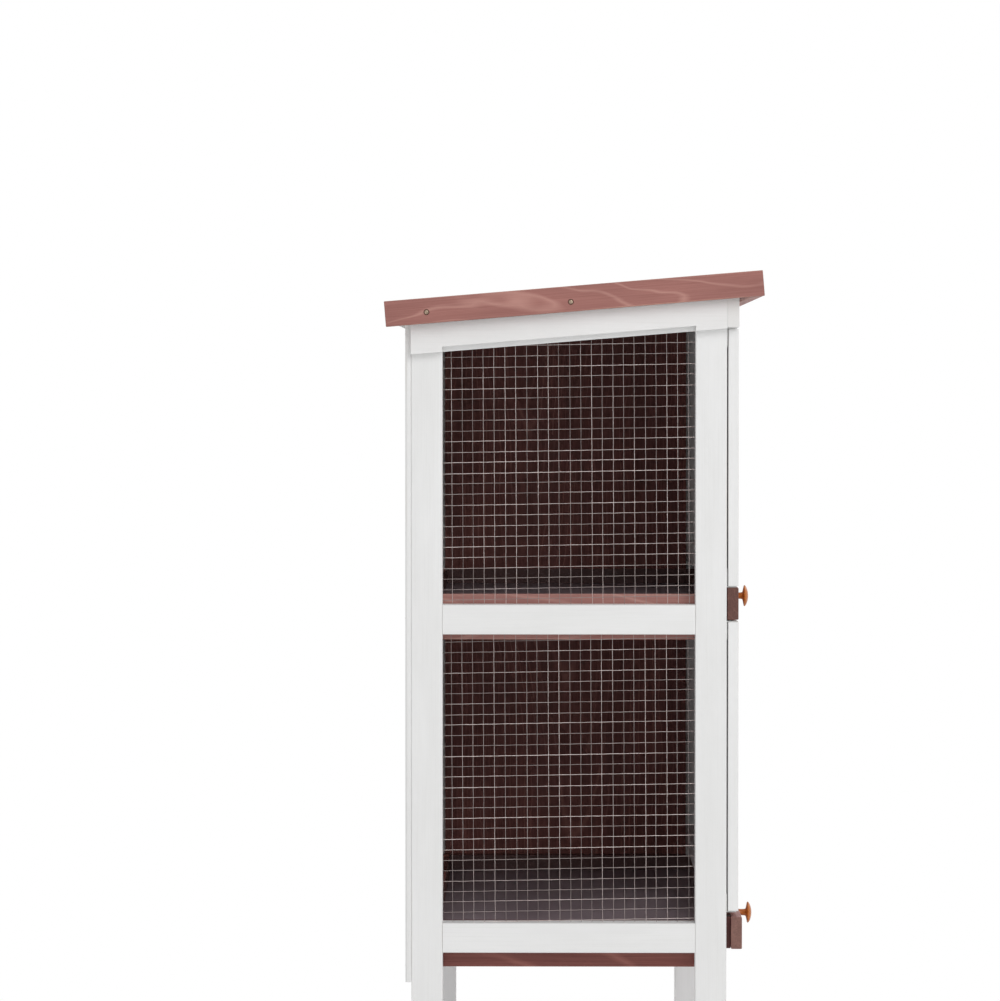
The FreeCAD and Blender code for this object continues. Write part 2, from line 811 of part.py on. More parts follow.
def lid_wall_leaf(x_range):
    """Leaf on the back boards, cranked out to its barrel and pin; drawn about the hinge axis."""
    spans = knuckle_spans(x_range[0], lid_hinge_length, fixed_knuckle_shares)
    plate = box(
        x_range,
        (-lid_hinge_standoff, lid_leaf_thickness - lid_hinge_standoff),
        (-lid_wall_leaf_height, -lid_barrel_radius),
    )
    neck = [
        (-lid_hinge_standoff, -lid_barrel_radius - lid_leaf_thickness),
        (lid_leaf_thickness - lid_hinge_standoff, -lid_barrel_radius - lid_leaf_thickness),
        (0, -lid_barrel_radius),
        (0, 0),
        (-lid_hinge_standoff, -lid_barrel_radius),
    ]
    necks = [side_prism(span, neck) for span in spans]
    pin = lid_pin(x_range, lid_pin_radius)
    leaf = plate.fuse([*necks, *lid_barrel(spans), pin]).removeSplitter()
    leaf.translate(FreeCAD.Vector(0, hinge_y, hinge_z))
    return leaf


def lid_panel_leaf(x_range):
    """Leaf under the lid's rear overhang, with a neck down to its barrel; in the lid's frame."""
    spans = knuckle_spans(x_range[0], lid_hinge_length, moving_knuckle_shares)
    plate = box(x_range, (0, lid_panel_leaf_reach), (lid_underside - lid_leaf_thickness, lid_underside))
    necks = [box(span, (0, lid_barrel_radius), (0, lid_underside)) for span in spans]
    bore = lid_pin(x_range, lid_pin_radius + running_clearance)
    leaf = plate.fuse(necks + lid_barrel(spans)).cut(bore).removeSplitter()
    return tilted(leaf)


def lid_hinges():
    """Hinges spread along the top of the back wall."""
    first_x = -(lid_hinge_spacing * (lid_hinge_count - 1) + lid_hinge_length) / 2
    starts = [first_x + index * lid_hinge_spacing for index in range(lid_hinge_count)]
    ranges = [(start, start + lid_hinge_length) for start in starts]
    nodes["lid_hinge_wall_leaves"] = Part.makeCompound([lid_wall_leaf(span) for span in ranges])
    nodes["lid_hinge_panel_leaves"] = Part.makeCompound([lid_panel_leaf(span) for span in ranges])


for side_name in SIDES:
    side_frame(side_name)
for opening_name, opening_edges in side_openings.items():
    nodes[f"left_{opening_name}_mesh"] = side_mesh(*opening_edges)
right_panels()
back_wall()
cross_rails()
center_posts()
tray_runners()
tray("upper", upper_tray_level, 0)
tray("lower", lower_tray_level, lower_tray_offset)
tray_stops()
doors()
door_pivots()
turn_buttons()
lid()
lid_hinges()

os.makedirs("parts", exist_ok=True)
for node_name, node_shape in nodes.items():
    node_shape.exportStep(f"parts/{node_name}.step")
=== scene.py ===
import bmesh
import bpy
import json
import math
import random
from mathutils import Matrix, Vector


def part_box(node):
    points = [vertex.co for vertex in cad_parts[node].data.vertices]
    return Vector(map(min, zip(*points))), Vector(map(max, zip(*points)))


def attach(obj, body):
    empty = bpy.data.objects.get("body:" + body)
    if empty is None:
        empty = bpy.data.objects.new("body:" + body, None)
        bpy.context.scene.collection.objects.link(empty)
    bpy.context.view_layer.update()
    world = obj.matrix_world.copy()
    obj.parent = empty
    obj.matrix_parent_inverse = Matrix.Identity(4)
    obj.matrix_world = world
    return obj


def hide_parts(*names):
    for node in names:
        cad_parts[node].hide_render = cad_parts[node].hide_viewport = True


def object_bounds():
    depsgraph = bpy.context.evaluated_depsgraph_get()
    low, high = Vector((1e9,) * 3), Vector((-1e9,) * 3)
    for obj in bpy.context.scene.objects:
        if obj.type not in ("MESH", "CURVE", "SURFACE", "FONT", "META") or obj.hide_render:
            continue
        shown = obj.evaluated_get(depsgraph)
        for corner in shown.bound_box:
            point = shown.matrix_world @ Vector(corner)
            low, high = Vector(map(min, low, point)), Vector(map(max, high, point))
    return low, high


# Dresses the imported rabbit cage: rounded timber with grain, round mesh wire, turned knobs, fasteners,
# procedural materials, a pale studio and the photograph's camera. Lengths are metres, in the frame of
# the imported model.

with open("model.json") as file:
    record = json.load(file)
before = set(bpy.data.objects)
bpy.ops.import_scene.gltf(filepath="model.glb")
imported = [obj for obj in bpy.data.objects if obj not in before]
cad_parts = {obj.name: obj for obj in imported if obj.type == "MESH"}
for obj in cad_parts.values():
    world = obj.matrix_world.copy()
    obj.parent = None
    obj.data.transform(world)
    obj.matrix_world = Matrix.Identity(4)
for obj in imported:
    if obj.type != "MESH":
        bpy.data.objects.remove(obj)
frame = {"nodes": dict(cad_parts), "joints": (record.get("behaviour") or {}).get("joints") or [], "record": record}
cad_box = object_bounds()

# Camera of the photograph
CAMERA_PLACE = (-5.648, 0.0366, 0.9547)
CAMERA_TARGET = (-0.420, 0.0874, 0.829)
LENS_MM = 159.4
SENSOR_MM = 36.0
CAMERA_REACH = 160.0

# Timber: rounding of its edges, and how its faces are told apart
LID_PITCH = math.radians(4.7)
TIMBER_ROUND = 0.0005
TRAY_FRONT_ROUND = 0.0016
LID_BEAM_ROUND = 0.0018
ROUND_STEPS = 2
ROUND_PROFILE = 0.5
COPLANAR_ANGLE = math.radians(1)
SMOOTH_ANGLE = math.radians(50)
POINT_GRID = 1e-6
END_GRAIN_COSINE = math.cos(math.radians(40))
FLAT_FACE_COSINE = math.cos(math.radians(10))
PANEL_GAP = 0.0005

# Grain: the made-up heart of each length of wood, and the waves per metre that bend and streak its rings
GRAIN_SHIFT = 8.0
HEART_WIDTH_SHARE = 0.3
HEART_DEPTH = (0.004, 0.022)
PANEL_BOARD_WIDTH = 0.054
BOARD_GRAIN_SHIFT = 0.37
BROAD_WAVES = (2.4, 6.0, 6.0)
BROAD_REACH = 0.075
FINE_WAVES = (16.0, 45.0, 45.0)
FINE_REACH = 0.006
RING_STRETCH = (0.03, 1.0, 1.0)
STREAK_WAVES = (9.0, 620.0, 620.0)
BLOTCH_WAVES = (6.0, 30.0, 30.0)
HALF_RING = 0.5

# Noise: detail and roughness of each kind, its middle colour, and the span that most of its values lie in
SMOOTH_NOISE = (3.0, 0.5)
STREAK_NOISE = (4.0, 0.6)
DUST_NOISE = (4.0, 0.55)
SCUFF_NOISE = (3.0, 0.6)
PLAIN_DETAIL = 1.0
NOISE_MIDDLE = (0.5, 0.5, 0.5)
NOISE_SPAN = (0.3, 0.7)
FULL_SPAN = (0.0, 1.0)

# Brown stain: a pair of spans carries a value from the first span to the second, and a bump is a depth
# and a strength, here and in the materials below
STAIN_RING_PITCH = 0.0040
STAIN_LINE_SPANS = ((0.0, 0.12), (1.0, 0.0))
STAIN_FADE_SPANS = ((0.38, 0.62), (0.2, 0.95))
STAIN_PORE_SPANS = ((0.35, 0.7), (0.0, 0.55))
STAIN_WEAR_SPANS = ((0.45, 0.7), (0.0, 0.5))
STAIN_RING_SHARE = 0.52
STAIN_RING_RELIEF = 0.7
STAIN_ROUGHNESS = (0.5, 0.66)
STAIN_BUMP = (0.0005, 0.35)
STAIN_DEEP = (0.255, 0.098, 0.083, 1)
STAIN_PALE = (0.365, 0.150, 0.125, 1)
STAIN_PORES = (0.215, 0.076, 0.062, 1)
STAIN_RINGS = (0.56, 0.30, 0.25, 1)
STAIN_WORN = (0.47, 0.245, 0.195, 1)
STAIN_END_DEEP = (0.165, 0.070, 0.053, 1)
STAIN_END_PALE = (0.290, 0.135, 0.102, 1)
STAIN_END_PORES = (0.070, 0.027, 0.021, 1)

# Darker or paler tone of some pieces against the rest, where the darkness of the right panels, the lower runners
# and the lower stops is painted shade; more coats of stain in the grooves of panels; and the wear of the lid's
# edges beside that of other edges, which also paints a highlight on the edges of the lid's beams
STAIN_COATS_AND_PAINTED_SHADE = {
    "right_upper_panel": 1.30,
    "right_lower_panel": 1.30,
    "upper_tray_front": 1.18,
    "lower_tray_front": 0.90,
    "upper_tray_runners": 0.86,
    "lower_tray_runners": 1.42,
    "lower_tray_stops": 2.1,
}
GROOVE_COATS = 1.25
LID_EDGE_WEAR_AND_HIGHLIGHT = 1.7

# White paint
PAINT_RING_PITCH = 0.0065
PAINT_PORE_SPANS = ((0.5, 0.78), (0.0, 0.35))
PAINT_END_SPANS = ((0.35, 0.65), (0.2, 0.6))
PAINT_WEAR_SPANS = ((0.5, 0.75), (0.0, 0.4))
PAINT_RING_RELIEF = 0.8
PAINT_ROUGHNESS = (0.42, 0.55)
PAINT_BUMP = (0.0004, 0.3)
PAINT_DULL = (0.765, 0.765, 0.758, 1)
PAINT_CLEAN = (0.815, 0.815, 0.812, 1)
PAINT_PORES = (0.70, 0.695, 0.68, 1)
PAINT_END = (0.66, 0.65, 0.62, 1)
PAINT_WORN = (0.60, 0.55, 0.47, 1)

# Metals: colour, dark colour, roughness and crystals per metre of each
WIRE_METAL = ((0.78, 0.685, 0.66, 1), (0.54, 0.465, 0.445, 1), (0.38, 0.55), 240.0)
HINGE_METAL = ((0.64, 0.64, 0.625, 1), (0.54, 0.54, 0.53, 1), (0.30, 0.46), 520.0)
SCREW_METAL = ((0.47, 0.37, 0.28, 1), (0.27, 0.205, 0.15, 1), (0.34, 0.50), 300.0)
CRYSTAL_SPANS = ((0.0, 0.6), FULL_SPAN)
SCUFFS_PER_CRYSTAL = 4
METAL_BUMP = (0.0001, 0.2)
DULL_WIRE = (0.27, 0.23, 0.22, 1)
SHINE_WAVES = 16.0
SHINE_SPREAD = 40.0
WIRE_SHINE_SHARE = 0.5
SHINE_SPANS = ((0.58, 1.02), FULL_SPAN)

# Coated sheet of the trays: dark and pale colour of the dusty floors, and of the walls, which are darker as
# painted shade
FLOOR_SHEET = ((0.225, 0.172, 0.192, 1), (0.300, 0.236, 0.260, 1))
SHADED_WALL_SHEET = ((0.092, 0.040, 0.036, 1), (0.122, 0.053, 0.048, 1))
SHEET_DUST_SCALE = 12.0
SHEET_SCUFF_WAVES = (30.0, 420.0, 420.0)
SHEET_SCUFF_SPANS = ((0.55, 0.8), (0.0, 0.3))
SHEET_SCUFFED = (0.36, 0.305, 0.318, 1)
SHEET_ROUGHNESS = (0.5, 0.66)
SHEET_BUMP = (0.0002, 0.15)

# Honey lacquer of the knobs
LACQUER_RING_PITCH = 0.0022
LACQUER_RING_SPANS = ((0.1, 0.5), (0.0, 0.7))
LACQUER_PORE_SPANS = ((0.45, 0.75), (0.0, 0.5))
LACQUER_ROUGHNESS = (0.3, 0.42)
LACQUER_SPECULAR = 0.25
LACQUER_COAT = 0.1
LACQUER_COAT_ROUGHNESS = 0.12
LACQUER_BUMP = (0.0002, 0.2)
LACQUER_PALE = (0.51, 0.155, 0.025, 1)
LACQUER_RINGS = (0.40, 0.104, 0.016, 1)
LACQUER_PORES = (0.31, 0.075, 0.012, 1)

# Roofing felt
GRIT_SCALE = 620.0
FELT_PATCH_SCALE = 14.0
FELT_WORN_SPANS = ((0.42, 0.72), (0.0, 0.45))
FELT_ROUGHNESS = (0.82, 0.95)
FELT_BUMP = (0.0012, 0.6)
GRIT_DARK = (0.055, 0.078, 0.060, 1)
GRIT_PALE = (0.185, 0.215, 0.170, 1)
FELT_WORN = (0.235, 0.245, 0.215, 1)

# Welded mesh: wire shares are of the CAD wire's radius, and levels are the first level wire's height over
# the opening's lower edge, in its middle, and the step to the next
WIRE_SIDES = 6
WIRE_LAYERS = 2
UPRIGHT_WIRE_SHARE = 0.73
LEVEL_WIRE_SHARE = 0.88
WIRE_PITCH = 0.01272
WIRE_STEP = WIRE_PITCH / 2
FIRST_WIRE_MARGIN = 0.0078
LAST_WIRE_MARGIN = 0.0106
UPPER_LEVELS = (0.0074, 0.01250)
LOWER_LEVELS = (0.0015, 0.01236)
DOOR_LEVELS = (0.0063, 0.01270)
WIRE_EMBED = 0.006
CAD_WIRE_EMBED = 0.0075
SHORTEST_WIRE = 3
WIRE_RIPPLE = 0.00010
WIRE_BOW = 0.0005
WIRE_RISE = math.tan(math.radians(1.1))
WIRE_LEAN = math.tan(math.radians(0.3))

# Knobs: the axis counts as drawn out, so that the grain runs along it; the profile has shares of the
# radius and of the projection, from the foot to the crown
KNOB_SEGMENTS = 48
KNOB_GRAIN_STRETCH = 3
KNOB_PROFILE_SHARES = (
    (0.42, 0.0), (0.42, 0.04), (0.36, 0.09), (0.31, 0.16), (0.30, 0.42), (0.31, 0.59), (0.36, 0.66),
    (0.60, 0.695), (0.88, 0.73), (0.97, 0.745), (1.0, 0.775), (0.99, 0.803), (0.95, 0.83), (0.85, 0.875),
    (0.70, 0.92), (0.52, 0.957), (0.32, 0.983), (0.14, 0.997), (0.0, 1.0),
)

# Fasteners: radius and height of each kind of head, and shares of them for its form
SCREW_HEAD = (0.0024, 0.0004)
HINGE_SCREW_HEAD = (0.0027, 0.0008)
NAIL_HEAD = (0.0016, 0.0005)
CLOUT_HEAD = (0.0045, 0.0008)
BUTTON_HEAD = (0.0045, 0.0025)
HEAD_SIDES = 20
SHOULDER_SHARE = 0.45
CROWN_SHARE = 0.82
CROSS_ARMS = 4
RECESS_SHARES = (0.62, 0.17)
RECESS_DEPTH_SHARE = 0.8

# Countersinks: radius at the rim and at the floor, and how deep the floor and the screw's head lie
SINK_RADII = (0.0036, 0.0021)
SINK_DEPTH = 0.0020
SINK_HEAD_DEPTH = 0.0014

# Screws and nails of the lid: reaches run along its slope from the hinge towards the front, heights stand
# square to it, and a screw of a side beam has a reach and a drop below the beam's middle
BEAM_SCREWS = ((0.0315, 0.0018), (0.2013, 0.0037))
BEAM_MIDDLE = 0.0125
FRONT_SCREW_END = 0.36
FRONT_SCREW_SPACING = 0.18
FRONT_SCREW_REACH = 0.4287
FELT_NAIL_END = 0.42
FELT_NAIL_SPACING = 0.14
FELT_NAIL_REACH = -0.0086
FELT_TOP = 0.018

# Screws and nails of the cage
LEAF_THICKNESS = 0.0014
LEAF_HALF_LENGTH = 0.030
LEAF_SPACING = 0.3
LEAF_SCREW_DROP = 0.018
LEAF_SCREW_SPACING = 0.020
NAIL_SHARES = (0.2, 0.8)
BRACKET_PLATE = 0.0006

# Studio: each lamp has a name, a place, a size and a power
FLOOR_RADIUS = 40.0
FLOOR_SIDES = 96
FLOOR_SPECKLE_SCALE = 30.0
FLOOR_COLORS = ((0.90, 0.90, 0.90, 1), (0.93, 0.93, 0.93, 1))
FLOOR_ROUGHNESS = 0.9
FLOOR_FADE = (0.8, 1.35)
WHITE = (1, 1, 1, 1)
WHITE_STRENGTH = 1.0
AMBIENT = 0.635
LAMPS = (
    ("key_lamp", (-3.8, -1.6, 3.0), 3.0, 66.0),
    ("front_lamp", (3.0, -3.6, 3.2), 3.0, 62.0),
    ("back_lamp", (2.6, 3.8, 3.4), 3.0, 58.0),
)
LAMP_TARGET = Vector((0, 0, 0.6))

SEED = 7
SHINE_SEED = 11
STOREYS = ("upper", "lower")
X_AXIS = Vector((1, 0, 0))
Y_AXIS = Vector((0, 1, 0))
Z_AXIS = Vector((0, 0, 1))
LID_Y = Vector((0, math.cos(LID_PITCH), -math.sin(LID_PITCH)))
LID_Z = Vector((0, math.sin(LID_PITCH), math.cos(LID_PITCH)))
rng = random.Random(SEED)
shine_rng = random.Random(SHINE_SEED)


# Shader nodes

def add_node(tree, kind, settings=None, inputs=None):
    """New shader node; an input is another node's output socket or a plain value."""
    node = tree.nodes.new(kind)
    for name, value in (settings or {}).items():
        setattr(node, name, value)
    for name, value in (inputs or {}).items():
        if isinstance(value, bpy.types.NodeSocket):
            tree.links.new(value, node.inputs[name])
        else:
            node.inputs[name].default_value = value
    return node


def math_node(tree, operation, first, second=0.0):
    """Output of a Math node on two sockets or numbers."""
    return add_node(tree, "ShaderNodeMath", {"operation": operation}, {0: first, 1: second}).outputs[0]


def vector_node(tree, operation, inputs, output=0):
    """Output of a Vector Math node."""
    return add_node(tree, "ShaderNodeVectorMath", {"operation": operation}, inputs).outputs[output]


def mix_colors(tree, share, first, second):
    """Colour between two colours; 6, 7 and 2 are the colour sockets of a Mix node."""
    inputs = {0: share, 6: first, 7: second}
    return add_node(tree, "ShaderNodeMix", {"data_type": "RGBA"}, inputs).outputs[2]


def map_range(tree, value, source, target):
    """Value carried from one span to another, held at the ends."""
    low, high = source
    new_low, new_high = target
    inputs = {"Value": value, "From Min": low, "From Max": high, "To Min": new_low, "To Max": new_high}
    return add_node(tree, "ShaderNodeMapRange", {"clamp": True}, inputs).outputs[0]


def stretched(tree, vector, scale):
    """Coordinates scaled along each axis."""
    return vector_node(tree, "MULTIPLY", {0: vector, 1: scale})


def noise(tree, vector, kind, scale=1.0):
    """Noise value at a scale."""
    detail, roughness = kind
    inputs = {"Vector": vector, "Scale": scale, "Detail": detail, "Roughness": roughness}
    return add_node(tree, "ShaderNodeTexNoise", {}, inputs).outputs[0]


def cells(tree, vector, scale):
    """Irregular cells at a scale: a level for each cell, and the distance from the cell's middle."""
    node = add_node(tree, "ShaderNodeTexVoronoi", {"feature": "F1"}, {"Vector": vector, "Scale": scale})
    level = add_node(tree, "ShaderNodeSeparateColor", {}, {0: node.outputs["Color"]}).outputs[0]
    return level, node.outputs["Distance"]


def wandering(tree, place, waves_per_metre, reach):
    """Coordinates shifted by a smooth noise."""
    inputs = {"Vector": stretched(tree, place, waves_per_metre), "Scale": 1.0, "Detail": PLAIN_DETAIL}
    color = add_node(tree, "ShaderNodeTexNoise", {}, inputs).outputs["Color"]
    centered = vector_node(tree, "SUBTRACT", {0: color, 1: NOISE_MIDDLE})
    shift = vector_node(tree, "SCALE", {0: centered, "Scale": reach})
    return vector_node(tree, "ADD", {0: place, 1: shift})


def number_of(tree, name):
    """Number that a mesh keeps on its faces under a name."""
    return add_node(tree, "ShaderNodeAttribute", {"attribute_name": name}).outputs["Fac"]


def object_coordinates(tree):
    """Coordinates that stay with the piece."""
    return add_node(tree, "ShaderNodeTexCoord").outputs["Object"]


def new_material(name):
    """Empty node material and its shader."""
    material = bpy.data.materials.new(name)
    material.use_nodes = True
    tree = material.node_tree
    return material, tree, tree.nodes["Principled BSDF"]


def set_surface(tree, shader, color, roughness, height, relief):
    """Gives a shader its colour, its roughness and a fine relief of a depth and a strength."""
    depth, strength = relief
    inputs = {"Height": height, "Distance": depth, "Strength": strength}
    bump = add_node(tree, "ShaderNodeBump", {}, inputs)
    tree.links.new(color, shader.inputs["Base Color"])
    tree.links.new(roughness, shader.inputs["Roughness"])
    tree.links.new(bump.outputs[0], shader.inputs["Normal"])


def grain_nodes(tree, ring_pitch):
    """Wood figure from the pieces' own grain coordinates: ring phase, fine streaks and broad blotches."""
    grain = add_node(tree, "ShaderNodeAttribute", {"attribute_name": "grain"}).outputs["Vector"]
    bent = wandering(tree, wandering(tree, grain, BROAD_WAVES, BROAD_REACH), FINE_WAVES, FINE_REACH)
    radius = vector_node(tree, "LENGTH", {0: stretched(tree, bent, RING_STRETCH)}, "Value")
    phase = math_node(tree, "FRACT", math_node(tree, "DIVIDE", radius, ring_pitch))
    streaks = noise(tree, stretched(tree, grain, STREAK_WAVES), STREAK_NOISE)
    blotches = noise(tree, stretched(tree, grain, BLOTCH_WAVES), SMOOTH_NOISE)
    return phase, streaks, blotches


# Materials

def brown_stain():
    """Red-brown stain on softwood: the stain takes less on the late rings, which stay as light lines."""
    material, tree, shader = new_material("brown_stain")
    phase, streaks, blotches = grain_nodes(tree, STAIN_RING_PITCH)
    off_line = math_node(tree, "ABSOLUTE", math_node(tree, "SUBTRACT", phase, HALF_RING))
    line = map_range(tree, off_line, *STAIN_LINE_SPANS)
    figure = math_node(tree, "MULTIPLY", line, map_range(tree, blotches, *STAIN_FADE_SPANS))
    ground = mix_colors(tree, map_range(tree, blotches, NOISE_SPAN, FULL_SPAN), STAIN_DEEP, STAIN_PALE)
    pores = map_range(tree, streaks, *STAIN_PORE_SPANS)
    streaked = mix_colors(tree, pores, ground, STAIN_PORES)
    ring_share = math_node(tree, "MULTIPLY", figure, STAIN_RING_SHARE)
    ringed = mix_colors(tree, ring_share, streaked, STAIN_RINGS)
    wear = map_range(tree, blotches, *STAIN_WEAR_SPANS)
    # Paler worn edges; on the lid's beams the stronger wear also paints a highlight
    rubbed = math_node(tree, "MULTIPLY", number_of(tree, "edge"), wear)
    worn = mix_colors(tree, rubbed, ringed, STAIN_WORN)
    cut_rings = mix_colors(tree, figure, STAIN_END_DEEP, STAIN_END_PALE)
    soaked = mix_colors(tree, pores, cut_rings, STAIN_END_PORES)
    grained = mix_colors(tree, number_of(tree, "end_grain"), worn, soaked)
    # The gamma darkens or pales whole pieces; on the right panels, the lower runners and the lower stops this
    # darkening is painted shade
    stained = add_node(tree, "ShaderNodeGamma", {}, {"Color": grained, "Gamma": number_of(tree, "coats_and_painted_shade")})
    roughness = map_range(tree, streaks, NOISE_SPAN, STAIN_ROUGHNESS)
    height = math_node(tree, "ADD", streaks, math_node(tree, "MULTIPLY", figure, STAIN_RING_RELIEF))
    set_surface(tree, shader, stained.outputs[0], roughness, height, STAIN_BUMP)
    return material


def white_paint():
    """White paint rolled on softwood: the grain shows through as fine relief, with faint warm patches."""
    material, tree, shader = new_material("white_paint")
    phase, streaks, blotches = grain_nodes(tree, PAINT_RING_PITCH)
    ground = mix_colors(tree, map_range(tree, blotches, NOISE_SPAN, FULL_SPAN), PAINT_DULL, PAINT_CLEAN)
    painted = mix_colors(tree, map_range(tree, streaks, *PAINT_PORE_SPANS), ground, PAINT_PORES)
    thinness = map_range(tree, blotches, *PAINT_END_SPANS)
    thin = math_node(tree, "MULTIPLY", number_of(tree, "end_grain"), thinness)
    coated = mix_colors(tree, thin, painted, PAINT_END)
    wear = map_range(tree, blotches, *PAINT_WEAR_SPANS)
    rubbed = math_node(tree, "MULTIPLY", number_of(tree, "edge"), wear)
    worn = mix_colors(tree, rubbed, coated, PAINT_WORN)
    roughness = map_range(tree, streaks, NOISE_SPAN, PAINT_ROUGHNESS)
    ring = math_node(tree, "PINGPONG", phase, HALF_RING)
    height = math_node(tree, "ADD", streaks, math_node(tree, "MULTIPLY", ring, PAINT_RING_RELIEF))
    set_surface(tree, shader, worn, roughness, height, PAINT_BUMP)
    return material


def metal(name, color, dark_color, roughness_span, crystal_scale):
    """Zinc-coated steel with a faint crystal pattern and uneven gloss."""
    material, tree, shader = new_material(name)
    place = object_coordinates(tree)
    level, _ = cells(tree, place, crystal_scale)
    scuffs = noise(tree, place, STREAK_NOISE, crystal_scale * SCUFFS_PER_CRYSTAL)
    share = map_range(tree, math_node(tree, "MULTIPLY", level, scuffs), *CRYSTAL_SPANS)
    zinc = mix_colors(tree, share, dark_color, color)
    roughness = map_range(tree, scuffs, NOISE_SPAN, roughness_span)
    set_surface(tree, shader, zinc, roughness, scuffs, METAL_BUMP)
    shader.inputs["Metallic"].default_value = 1.0
    return material


def galvanised_wire():
    """Galvanised wire whose shine differs from wire to wire and changes slowly along each one."""
    material = metal("galvanised_wire", *WIRE_METAL)
    tree = material.node_tree
    base_color = tree.nodes["Principled BSDF"].inputs["Base Color"]
    wire = number_of(tree, "wire_shine")
    inputs = {
        "Vector": object_coordinates(tree),
        "W": math_node(tree, "MULTIPLY", wire, SHINE_SPREAD),
        "Scale": SHINE_WAVES,
        "Detail": PLAIN_DETAIL,
    }
    along = add_node(tree, "ShaderNodeTexNoise", {"noise_dimensions": "4D"}, inputs).outputs[0]
    level = math_node(tree, "ADD", math_node(tree, "MULTIPLY", wire, WIRE_SHINE_SHARE), along)
    zinc = base_color.links[0].from_socket
    tree.links.new(mix_colors(tree, map_range(tree, level, *SHINE_SPANS), DULL_WIRE, zinc), base_color)
    return material


def coated_sheet(name, dark_color, pale_color):
    """Dull coating on sheet steel, with dust and drawn-out scuffs."""
    material, tree, shader = new_material(name)
    place = object_coordinates(tree)
    dust = noise(tree, place, DUST_NOISE, SHEET_DUST_SCALE)
    scuffs = noise(tree, stretched(tree, place, SHEET_SCUFF_WAVES), SCUFF_NOISE)
    ground = mix_colors(tree, map_range(tree, dust, NOISE_SPAN, FULL_SPAN), dark_color, pale_color)
    scuffed = mix_colors(tree, map_range(tree, scuffs, *SHEET_SCUFF_SPANS), ground, SHEET_SCUFFED)
    roughness = map_range(tree, dust, NOISE_SPAN, SHEET_ROUGHNESS)
    set_surface(tree, shader, scuffed, roughness, scuffs, SHEET_BUMP)
    return material


def knob_lacquer():
    """Clear honey lacquer over a turned wooden knob."""
    material, tree, shader = new_material("knob_lacquer")
    phase, streaks, blotches = grain_nodes(tree, LACQUER_RING_PITCH)
    ring = map_range(tree, math_node(tree, "PINGPONG", phase, HALF_RING), *LACQUER_RING_SPANS)
    ground = mix_colors(tree, ring, LACQUER_PALE, LACQUER_RINGS)
    streaked = mix_colors(tree, map_range(tree, streaks, *LACQUER_PORE_SPANS), ground, LACQUER_PORES)
    roughness = map_range(tree, blotches, NOISE_SPAN, LACQUER_ROUGHNESS)
    set_surface(tree, shader, streaked, roughness, streaks, LACQUER_BUMP)
    shader.inputs["Specular IOR Level"].default_value = LACQUER_SPECULAR
    shader.inputs["Coat Weight"].default_value = LACQUER_COAT
    shader.inputs["Coat Roughness"].default_value = LACQUER_COAT_ROUGHNESS
    return material


def roof_felt():
    """Roofing felt with green-grey mineral grit."""
    material, tree, shader = new_material("roof_felt")
    place = object_coordinates(tree)
    level, distance = cells(tree, place, GRIT_SCALE)
    patches = noise(tree, place, DUST_NOISE, FELT_PATCH_SCALE)
    ground = mix_colors(tree, level, GRIT_DARK, GRIT_PALE)
    worn = mix_colors(tree, map_range(tree, patches, *FELT_WORN_SPANS), ground, FELT_WORN)
    roughness = map_range(tree, patches, NOISE_SPAN, FELT_ROUGHNESS)
    height = math_node(tree, "SUBTRACT", 1.0, distance)
    set_surface(tree, shader, worn, roughness, height, FELT_BUMP)
    return material


materials = {
    "white_wood": white_paint(),
    "brown_wood": brown_stain(),
    "wire": galvanised_wire(),
    "hinge_metal": metal("zinc_hinge", *HINGE_METAL),
    "screw_steel": metal("screw_steel", *SCREW_METAL),
    "tray_sheet": coated_sheet("coated_sheet", *FLOOR_SHEET),
    "knob_wood": knob_lacquer(),
    "roof_felt": roof_felt(),
}
# Darker sheet of the tray walls, painted shade: the walls and the floors are one sheet
painted_shade_wall_sheet = coated_sheet("painted_shade_coated_sheet", *SHADED_WALL_SHEET)


# Meshes

def new_piece(name, mesh, slot, body):
    """Object of the cage that takes a slot's material and moves with a body."""
    mesh.materials.append(materials[slot])
    piece = bpy.data.objects.new(name, mesh)
    bpy.context.scene.collection.objects.link(piece)
    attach(piece, body)
    return piece


def smooth_shaded(mesh):
    """Smooth shading that breaks at hard edges."""
    mesh.polygons.foreach_set("use_smooth", [True] * len(mesh.polygons))
    mesh.set_sharp_from_angle(angle=SMOOTH_ANGLE)


def keep_numbers(mesh, name, values):
    """Stores a number for each face of a mesh."""
    mesh.attributes.new(name, "FLOAT", "FACE").data.foreach_set("value", values)


def keep_grain(mesh, domain, places):
    """Stores grain coordinates on a mesh's points or on the corners of its faces."""
    attribute = mesh.attributes.new("grain", "FLOAT_VECTOR", domain)
    attribute.data.foreach_set("vector", [value for place in places for value in place])


def spread(low, high, step):
    """Places from low to high in whole steps of about one length."""
    count = max(1, round((high - low) / step))
    return [low + (high - low) * index / count for index in range(count + 1)]


def closed_shells(mesh):
    """Faces of a CAD mesh, split into its separate solids; each face is a list of whole-number points."""
    shells = []
    shell = []
    open_edges = set()
    for polygon in mesh.polygons:
        face = [
            tuple(round(value / POINT_GRID) for value in mesh.vertices[index].co)
            for index in polygon.vertices
        ]
        shell.append(face)
        for start, end in zip(face, face[1:] + face[:1]):
            open_edges ^= {frozenset((start, end))}
        if not open_edges:
            shells.append(shell)
            shell = []
    return shells


def add_tube(vertices, faces, rings):
    """Adds rings of as many points each, joined by faces, with a face over the first ring."""
    first = len(vertices)
    sides = len(rings[0])
    for ring in rings:
        vertices += ring
    for index in range(len(rings) - 1):
        for side in range(sides):
            here = first + index * sides + side
            after = first + index * sides + (side + 1) % sides
            faces.append((here, after, after + sides, here + sides))
    faces.append(tuple(range(first + sides - 1, first - 1, -1)))


